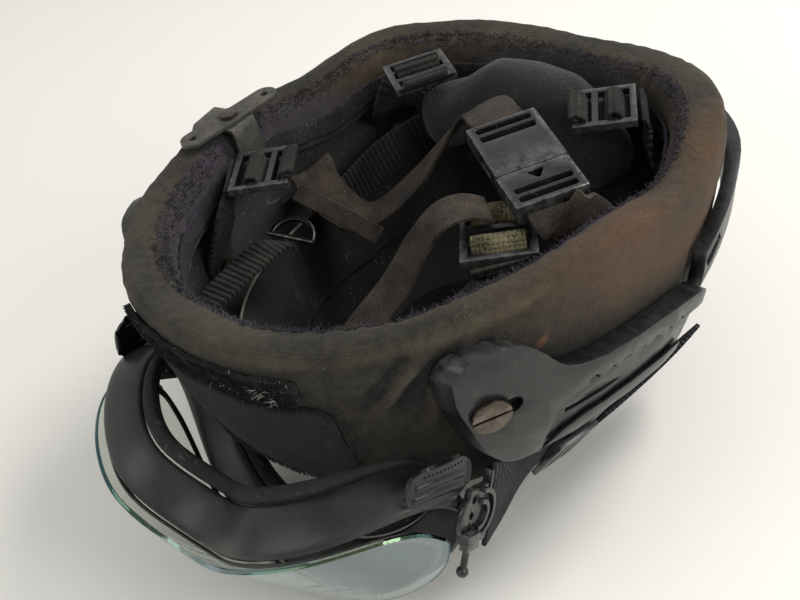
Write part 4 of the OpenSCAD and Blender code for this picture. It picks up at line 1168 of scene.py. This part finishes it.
def copies(name, base, places, slot):
    """places: centre, along, up and the three sizes of each copy, in millimetres."""
    co, faces = base
    verts, rings = [], []
    for k, (centre, along, up, size) in enumerate(places):
        along = Vector(along).normalized()
        side = Vector(up).cross(along).normalized()
        top = along.cross(side)
        turn = np.array((along * size[0], side * size[1], top * size[2]))
        verts.append((co @ turn + np.array(centre)) * MM)
        rings += [tuple(i + k * len(co) for i in f) for f in faces]
    piece = from_faces(name, np.concatenate(verts).tolist(), rings)
    smooth(piece)
    settle(piece, slot, "helmet")


print("copies ready")

# %% [markdown]
# Stitches lie on the cloth as it is, folds and all, so their places are found by shooting a
# ray at the finished cover: inward for the seams, and downward for the hem on its roll.

# %% Places on the cover
from mathutils.bvhtree import BVHTree

tree_of_cover = BVHTree.FromPolygons([v.co for v in cover.data.vertices],
                                     [tuple(f.vertices) for f in cover.data.polygons])


def shot(start, way, reach):
    """Place and normal where a ray meets the cover, or None; start in millimetres."""
    spot, normal = tree_of_cover.ray_cast(start * MM, way, reach)[:2]
    return None if spot is None else (spot / MM, normal)


def on_cover(th, z):
    return shot(wall(th, z, 30), -outward(th, z), 0.09)


def to_middle(spot):
    return Vector((-spot.x, -spot.y, 0)).normalized()


def on_roll(th, offset):
    """Place on top of the rolled rim, that far inside its outer wall."""
    start = wall(th, rim_height(th) + 12, 0)
    return shot(start + to_middle(start) * offset, Vector((0, 0, -1)), 0.05)


print("cover's tree answers at the brow:", on_roll(0, 16.5) is not None)

# %% [markdown]
# The hem is a zigzag over a cut edge that has frayed all round the inside of the roll. A
# stitch that finds no cloth is left out.

# %% Zigzag and fraying of the hem
HEM_STITCHES, HEM_ENDS, HEM_IN = 560, 5200, 16.5
rng = random.Random(11)
zigzag, fray = [], []
for k in range(HEM_STITCHES):
    th = k * 360 / HEM_STITCHES
    swing = 1 if k % 2 else -1
    found = on_roll(th, HEM_IN + 1.2 * swing + rng.uniform(-0.5, 0.5))
    if found is None:
        continue
    spot, normal = found
    zigzag.append((spot + normal * 0.25, around(th) + to_middle(spot) * 0.9 * swing, normal,
                   (1.5, 0.38, 0.3)))
for k in range(HEM_ENDS):
    th = rng.uniform(0, 360)
    found = on_roll(th, rng.uniform(13.6, 19.8))
    if found is None:
        continue
    spot, normal = found
    lean_way = Vector((rng.uniform(-1, 1), rng.uniform(-1, 1), rng.uniform(-0.6, 0.5)))
    long = rng.uniform(1.0, 2.6) if rng.random() < 0.93 else rng.uniform(3, 5)
    fray.append((spot - normal * 0.2, lean_way.cross(normal) + Vector((0.01, 0, 0)),
                 normal + 0.9 * lean_way, (0.13 if long > 2.8 else 0.24, 0.2, long)))
copies("hem_zigzag", STITCH, zigzag, "hem_thread")
copies("hem_fray", HAIR, fray, "hem_thread")
print(len(zigzag), "hem stitches and", len(fray), "frayed ends")

# %% [markdown]
# The loop strip is a pile of tiny hooks' partners: bent hairs, crowded and lying every way.
# White lint has caught in it, in two clumps on the right and a few lone threads.

# %% Pile and lint of the loop strip
STRIP_HALF, STRIP_RADIUS, TUFTS = 51, 112.0, 5200
# Clumps of lint: bearing, height, threads and how far they scatter in millimetres
CLUMPS = ((16, 143, 20, 1.3), (18, 139, 14, 1.1), (-12, 140, 6, 6), (8, 146, 5, 5))
tuft, stray = [], []
half_turn = math.degrees(math.asin((STRIP_HALF / STRIP_RADIUS) ** 1.2))
for k in range(TUFTS):
    th = rng.uniform(-half_turn, half_turn)
    z = rng.uniform(135.4, 149.6)
    out = outward(th, z)
    spot = wall(th, z, roll_d(z, th) + 2.2)
    way = Vector((rng.uniform(-1, 1), rng.uniform(-1, 1), rng.uniform(-1, 1)))
    tuft.append((spot, way.cross(out) + Vector((0.01, 0, 0)), out + 0.8 * way,
                 (0.3, 0.24, rng.uniform(1.0, 1.9))))
for th, z, count, scatter in CLUMPS:
    for k in range(count):
        out = outward(th, z)
        spot = wall(th + rng.gauss(0, scatter / 2), z + rng.gauss(0, scatter), roll_d(z, th) + 3.6)
        way = Vector((rng.uniform(-1, 1), rng.uniform(-1, 1), rng.uniform(-0.3, 0.3)))
        stray.append((spot, way.cross(out), out * 0.3 + way, (0.1, 0.08, rng.uniform(1.5, 3.4))))
copies("strip_pile", HAIR, tuft, "pile")
finish["lint_thread"] = cloth("lint_thread", (170, 168, 160), (222, 220, 212), mapped=False,
                              lint_amount=0.0)
copies("strip_lint", HAIR, stray, "lint_thread")
print(len(tuft), "tufts and", len(stray), "lint threads")

# %% [markdown]
# The badge is bare cloth, held by overcast stitches that point in from its outline: two
# long sides, two short ones and four round corners.

# %% Overcast edge of the badge
BADGE_MID, BADGE_LOW, BADGE_TOP, BADGE_END, CORNER = 103.5, 77.2, 129.6, 55, 8
BADGE_LONG, BADGE_HALF, BADGE_RADIUS, PITCH = 48, 56, 113.5, 1.5
badge_turn = math.degrees(math.asin((BADGE_HALF / BADGE_RADIUS) ** 1.2))
outline = [(x, z) for z in (BADGE_LOW, BADGE_TOP) for x in np.arange(-BADGE_LONG, BADGE_LONG, PITCH)]
outline += [(x, z) for x in (-BADGE_END, BADGE_END) for z in np.arange(85, 122, PITCH)]
outline += [(sx * (47 + CORNER * math.cos(a)), BADGE_MID + sz * (18 + CORNER * math.sin(a)))
            for sx in (-1, 1) for sz in (-1, 1) for a in np.arange(0.1, 1.5, 0.19)]
overcast = []
for x, z in outline:
    th = x / BADGE_HALF * badge_turn
    out = outward(th, z)
    spot = wall(th, z, roll_d(z, th) + 2.4)
    inward = Vector((0, 0, BADGE_MID - z))
    if abs(x) >= BADGE_LONG:
        inward = wall(0, z, 0) - spot
        inward = inward - out * inward.dot(out)
    tilt = around(th) * rng.uniform(-0.45, 0.45)
    overcast.append((spot, inward.normalized() + tilt, out, (rng.uniform(1.7, 2.6), 0.5, 0.4)))
copies("badge_overcast", STITCH, overcast, "badge_edge")
print(len(overcast), "badge stitches")

# %% [markdown]
# A seam runs down the cover on each side of the badge, with a second row on the right.

# %% Seams of the cover
SEAM_TOP, SEAM_LOW, SEAM_STITCHES = 152, 84, 34
seam = []
for top_turn, low_turn in ((31.5, 29.0), (-31.5, -29.0), (33.5, 31.0)):
    for k in range(SEAM_STITCHES):
        th = top_turn + (low_turn - top_turn) * k / SEAM_STITCHES
        z = SEAM_TOP + (SEAM_LOW - SEAM_TOP) * k / SEAM_STITCHES
        found = on_cover(th, z)
        if found:
            spot, normal = found
            seam.append((spot + normal * 0.05, wall(th, z + 1) - wall(th, z), normal,
                         (0.75, 0.22, 0.2)))
copies("cover_seam", STITCH, seam, "hem_thread")
print(len(seam), "seam stitches")

# %% [markdown]
# The headband's flap is edged with a thin pale piping, a round strand swept along the wall.

# %% Piping of the headband
STRAND_SIDES = 8
BAND_EDGE, BAND_INSIDE, PIPING_TURN, PIPING_RADIUS = 96.4, -27.4, 134, 0.8


def face_outwards(piece, angle):
    """Turns every face outwards, then shades smooth across small angles."""
    only(piece)
    bpy.ops.object.mode_set(mode="EDIT")
    bpy.ops.mesh.select_all(action="SELECT")
    bpy.ops.mesh.normals_make_consistent(inside=False)
    bpy.ops.object.mode_set(mode="OBJECT")
    smooth(piece, angle)


def tube(name, route, radius, slot):
    """A round strand through the points, in millimetres, from a swept ring."""
    verts, faces, sides = [], [], STRAND_SIDES
    for j, spot in enumerate(route):
        way = (route[min(len(route) - 1, j + 1)] - route[max(0, j - 1)]).normalized()
        side = way.cross(Vector((0.1, 0.2, 1))).normalized()
        top = side.cross(way)
        for i in range(sides):
            a = 2 * math.pi * i / sides
            verts.append((spot + (side * math.cos(a) + top * math.sin(a)) * radius) * MM)
    for j in range(len(route) - 1):
        for i in range(sides):
            n = (i + 1) % sides
            faces.append((j * sides + i, j * sides + n, (j + 1) * sides + n, (j + 1) * sides + i))
    last = (len(route) - 1) * sides
    faces += [tuple(range(sides))[::-1], tuple(range(last, last + sides))]
    piece = from_faces(name, verts, faces)
    face_outwards(piece, 50)
    settle(piece, slot, "helmet")


finish["piping"] = hard("piping", (96, 94, 82), (128, 126, 112), rough=(0.5, 0.7),
                        scratch_amount=0.1)
piping = [wall(th, BAND_EDGE, BAND_INSIDE) for th in np.linspace(-PIPING_TURN, PIPING_TURN, 120)]
tube("headband_piping", piping, PIPING_RADIUS, "piping")
print("piping of", len(piping), "rings")

# %% [markdown]
# More webbing lies inside: a narrow brown brace from the front left lock toward the middle,
# and ribbed webbing along the left wall.

# %% Brace and ribbed webbing
webbing("brace_lower", [((-64, -22, 131), (0.3, 1, 0.4)), ((-48, -19, 125), (0.3, 1, 0.5)),
                        ((-34, -16, 118), (0.4, 1, 0.6)), ((-21, -13, 111), (0.4, 1, 0.6))],
        9, 1.4, "webbing_brown", [])
WALL_WEB = ((-94, 92), (-108, 97), (-122, 102), (-138, 106), (-152, 108))
webbing("wall_webbing", [(wall(th, z, -31.5), Vector((0, 0, 1))) for th, z in WALL_WEB],
        WEB, WEB_THICK, "webbing_black", [])
print("brace and wall webbing made")

# %% [markdown]
# Both ends of the goggles carry a rounded plate. It is modelled flat at the origin, where
# ribs and holes are simple rules, and then laid on the side of the goggles.

# %% Place of the end plates and their drill
PLATE_MID, PLATE_LONG, PLATE_TALL = (-113.5, 97.5), 16.5, 9.8
PLATE_WAY = math.radians(-22)
HOLES, HOLE_PITCH, HOLE_RADIUS, HOLE_ROW = 11, 2, 0.55, 6.2
SIDE_X, SIDE_BEND, SIDE_FROM = 98.9, 0.0088, -105


def on_plate(piece, side):
    """Turns a piece modelled flat at the origin onto the side of the goggles."""
    co = points(piece) / MM
    y = PLATE_MID[0] + co[:, 0] * math.cos(PLATE_WAY) - co[:, 1] * math.sin(PLATE_WAY)
    z = PLATE_MID[1] + co[:, 0] * math.sin(PLATE_WAY) + co[:, 1] * math.cos(PLATE_WAY)
    x = SIDE_X - SIDE_BEND * np.minimum(0, y - SIDE_FROM) ** 2 + co[:, 2]
    move_to(piece, np.stack((x * side, y, z), axis=1) * MM)
    face_outwards(piece, 40)
    settle(piece, "rail_plastic", "goggles")


def row_of_holes():
    """Fine pins in a row, joined to one drill."""
    holes = []
    for k in range(HOLES):
        bpy.ops.mesh.primitive_cylinder_add(
            vertices=10, radius=HOLE_RADIUS * MM, depth=8 * MM,
            location=((-9 + HOLE_PITCH * k) * MM, HOLE_ROW * MM, 0))
        holes.append(bpy.context.object)
    only(holes[0])
    for hole in holes:
        hole.select_set(True)
    bpy.ops.object.join()
    bpy.ops.object.transform_apply(location=True)
    return bpy.context.object


print("a row of", HOLES, "holes")

# %% [markdown]
# The plate is a flat grid pushed into a rounded square. Two bowed ribs and a rim are raised
# on it, and then it is given its thickness and drilled. It rides with the goggles.

# %% Plates on the goggles' ends
RIBS_AT, RIB_HALF, RIB_BOW, PLATE_THICK = (-5.5, -0.2), 1.3, 2.2, 1.6
for side, word in ((1, "right"), (-1, "left")):
    bpy.ops.mesh.primitive_grid_add(x_subdivisions=56, y_subdivisions=34, size=1)
    plate = bpy.context.object
    plate.name = plate.data.name = "end_plate_" + word
    co = points(plate) * 2
    squash = (np.abs(co[:, 0]) ** 3 + np.abs(co[:, 1]) ** 3) ** (1 / 3)
    square = np.maximum(np.abs(co[:, 0]), np.abs(co[:, 1]))
    co *= (square / np.maximum(squash, 1e-6))[:, None]
    co *= (PLATE_LONG, PLATE_TALL, 1)
    for across in RIBS_AT:
        bow = np.abs(co[:, 1] - across - RIB_BOW * (1 - (co[:, 0] / PLATE_LONG) ** 2))
        co[:, 2] += 1.1 * np.clip(1.6 - bow / RIB_HALF, 0, 1) * (np.abs(co[:, 0]) < PLATE_LONG * 0.78)
    rim_share = np.maximum(np.abs(co[:, 0]) / PLATE_LONG, np.abs(co[:, 1]) / PLATE_TALL)
    co[:, 2] += 0.9 * np.clip((rim_share - 0.9) / 0.05, 0, 1)
    move_to(plate, co * MM)
    apply(plate, "SOLIDIFY", thickness=PLATE_THICK * MM, offset=-1)
    drill = row_of_holes()
    apply(plate, "BOOLEAN", operation="DIFFERENCE", object=drill, solver="EXACT")
    bpy.data.objects.remove(drill)
    on_plate(plate, side)
    print(plate.name, len(plate.data.polygons), "faces")

# %% [markdown]
# The elastic strap has worn through along its edges, so threads stand out of them.

# %% Threads of the strap
STRAP_ENDS, FROM_END = 1500, 3
threads_out = []
for k in range(STRAP_ENDS):
    j = rng.randrange(FROM_END, len(centres) - FROM_END)
    edge_side = rng.choice((-1, 1))
    across = acrosses[j].normalized() * edge_side
    way = (centres[j + 1] - centres[j]).normalized()
    out = way.cross(across)
    spot = centres[j].lerp(centres[j + 1], rng.random()) + across * (STRAP / 2 - 2.0)
    lean_way = across + way * rng.uniform(-0.9, 0.9) + out * rng.uniform(-0.5, 0.5)
    threads_out.append((spot, way, lean_way, (0.14, 0.12, rng.uniform(1.6, 3.6))))
copies("strap_threads", HAIR, threads_out, "strap_cloth")
print(len(threads_out), "threads along the strap")

# %% [markdown]
# ## Padding
#
# Pads are soft and crowned. Each copy is remeshed into even cells, blown up a little with a
# cloth simulation, and held so that no point moves more than a set cap.

# %% Blow up a pad
PRESSURE, SIMULATED = 4.0, 20


def blow_up(piece, start, cap):
    """A few steps of cloth under pressure, then no point further than the cap."""
    step = piece.modifiers.new("cloth", "CLOTH")
    step.settings.effector_weights.gravity = 0
    step.settings.use_pressure = True
    step.settings.uniform_pressure_force = PRESSURE
    step.settings.tension_stiffness = 12
    step.settings.compression_stiffness = 4
    step.settings.bending_stiffness = 0.4
    for number in range(1, SIMULATED + 1):
        bpy.context.scene.frame_set(number)
    only(piece)
    bpy.ops.object.modifier_apply(modifier=step.name)
    bpy.context.scene.frame_set(1)
    moved = points(piece) - start
    far = np.linalg.norm(moved, axis=1)
    moved *= np.minimum(1, cap * MM / np.maximum(far, 1e-9))[:, None]
    move_to(piece, start + moved)


print("simulation is", "run")

# %% [markdown]
# A pad starts a little smaller than its solid, since it swells, and gets small creases at
# the end. The nape pad is a thicker roll than its solid, so its middle is raised first.

# %% Soft copy of a pad
CREASE, FILL = 0.4, 0.6
ROLL_HALF, ROLL_FADE = 44, 20


def padded_copy(node, slot, voxel, cap, shrink, taller=1.0, narrower=1.0):
    """Soft copy of a pad; sizes in millimetres, taller and narrower as factors."""
    piece = copy_of(node, node + "_soft")
    only(piece)
    piece.data.remesh_voxel_size = voxel * MM
    bpy.ops.object.voxel_remesh()
    start = points(piece)
    low = start[:, 2].min()
    start[:, 0] *= narrower
    middle_share = np.clip((ROLL_HALF - np.abs(start[:, 0]) / MM) / ROLL_FADE, 0, 1)
    start[:, 2] = low + (start[:, 2] - low) * (1 + (taller - 1) * middle_share)
    start = start - normals(piece) * shrink * MM
    move_to(piece, start)
    blow_up(piece, start, cap)
    subdivide(piece, 1)
    co = points(piece)
    fold = noisy(co, 16, 11) + 0.5 * noisy(co * (1, 1, 2), 6, 12)
    move_to(piece, co + normals(piece) * (fold * CREASE * MM)[:, None])
    map_wall(piece)
    smooth(piece)
    settle(piece, slot, "helmet", node)


print("pads filled to", FILL)

# %% [markdown]
# The thin headband gets finer cells than the thick pads. The cap and the shrink keep every
# pad clear of its neighbours after it has swelled.

# %% Pads
CELL, FINE_CELL, SHRINK = 4.5, 2.2, 0.8
for node, slot, cap in (("crown_pad", "pad_cloth", 1.0), ("front_pad", "pad_vinyl", 2.0),
                        ("side_pad_right", "pad_cloth", 1.5), ("side_pad_left", "pad_cloth", 1.5),
                        ("rear_pad", "pad_cloth", 1.5)):
    padded_copy(node, slot, CELL, cap, SHRINK)
padded_copy("nape_pad", "nape_cloth", CELL, 0.8, 1.2, taller=1.25, narrower=0.95)
padded_copy("headband", "pad_cloth", FINE_CELL, 0.5, 0.3)
print("padding made")
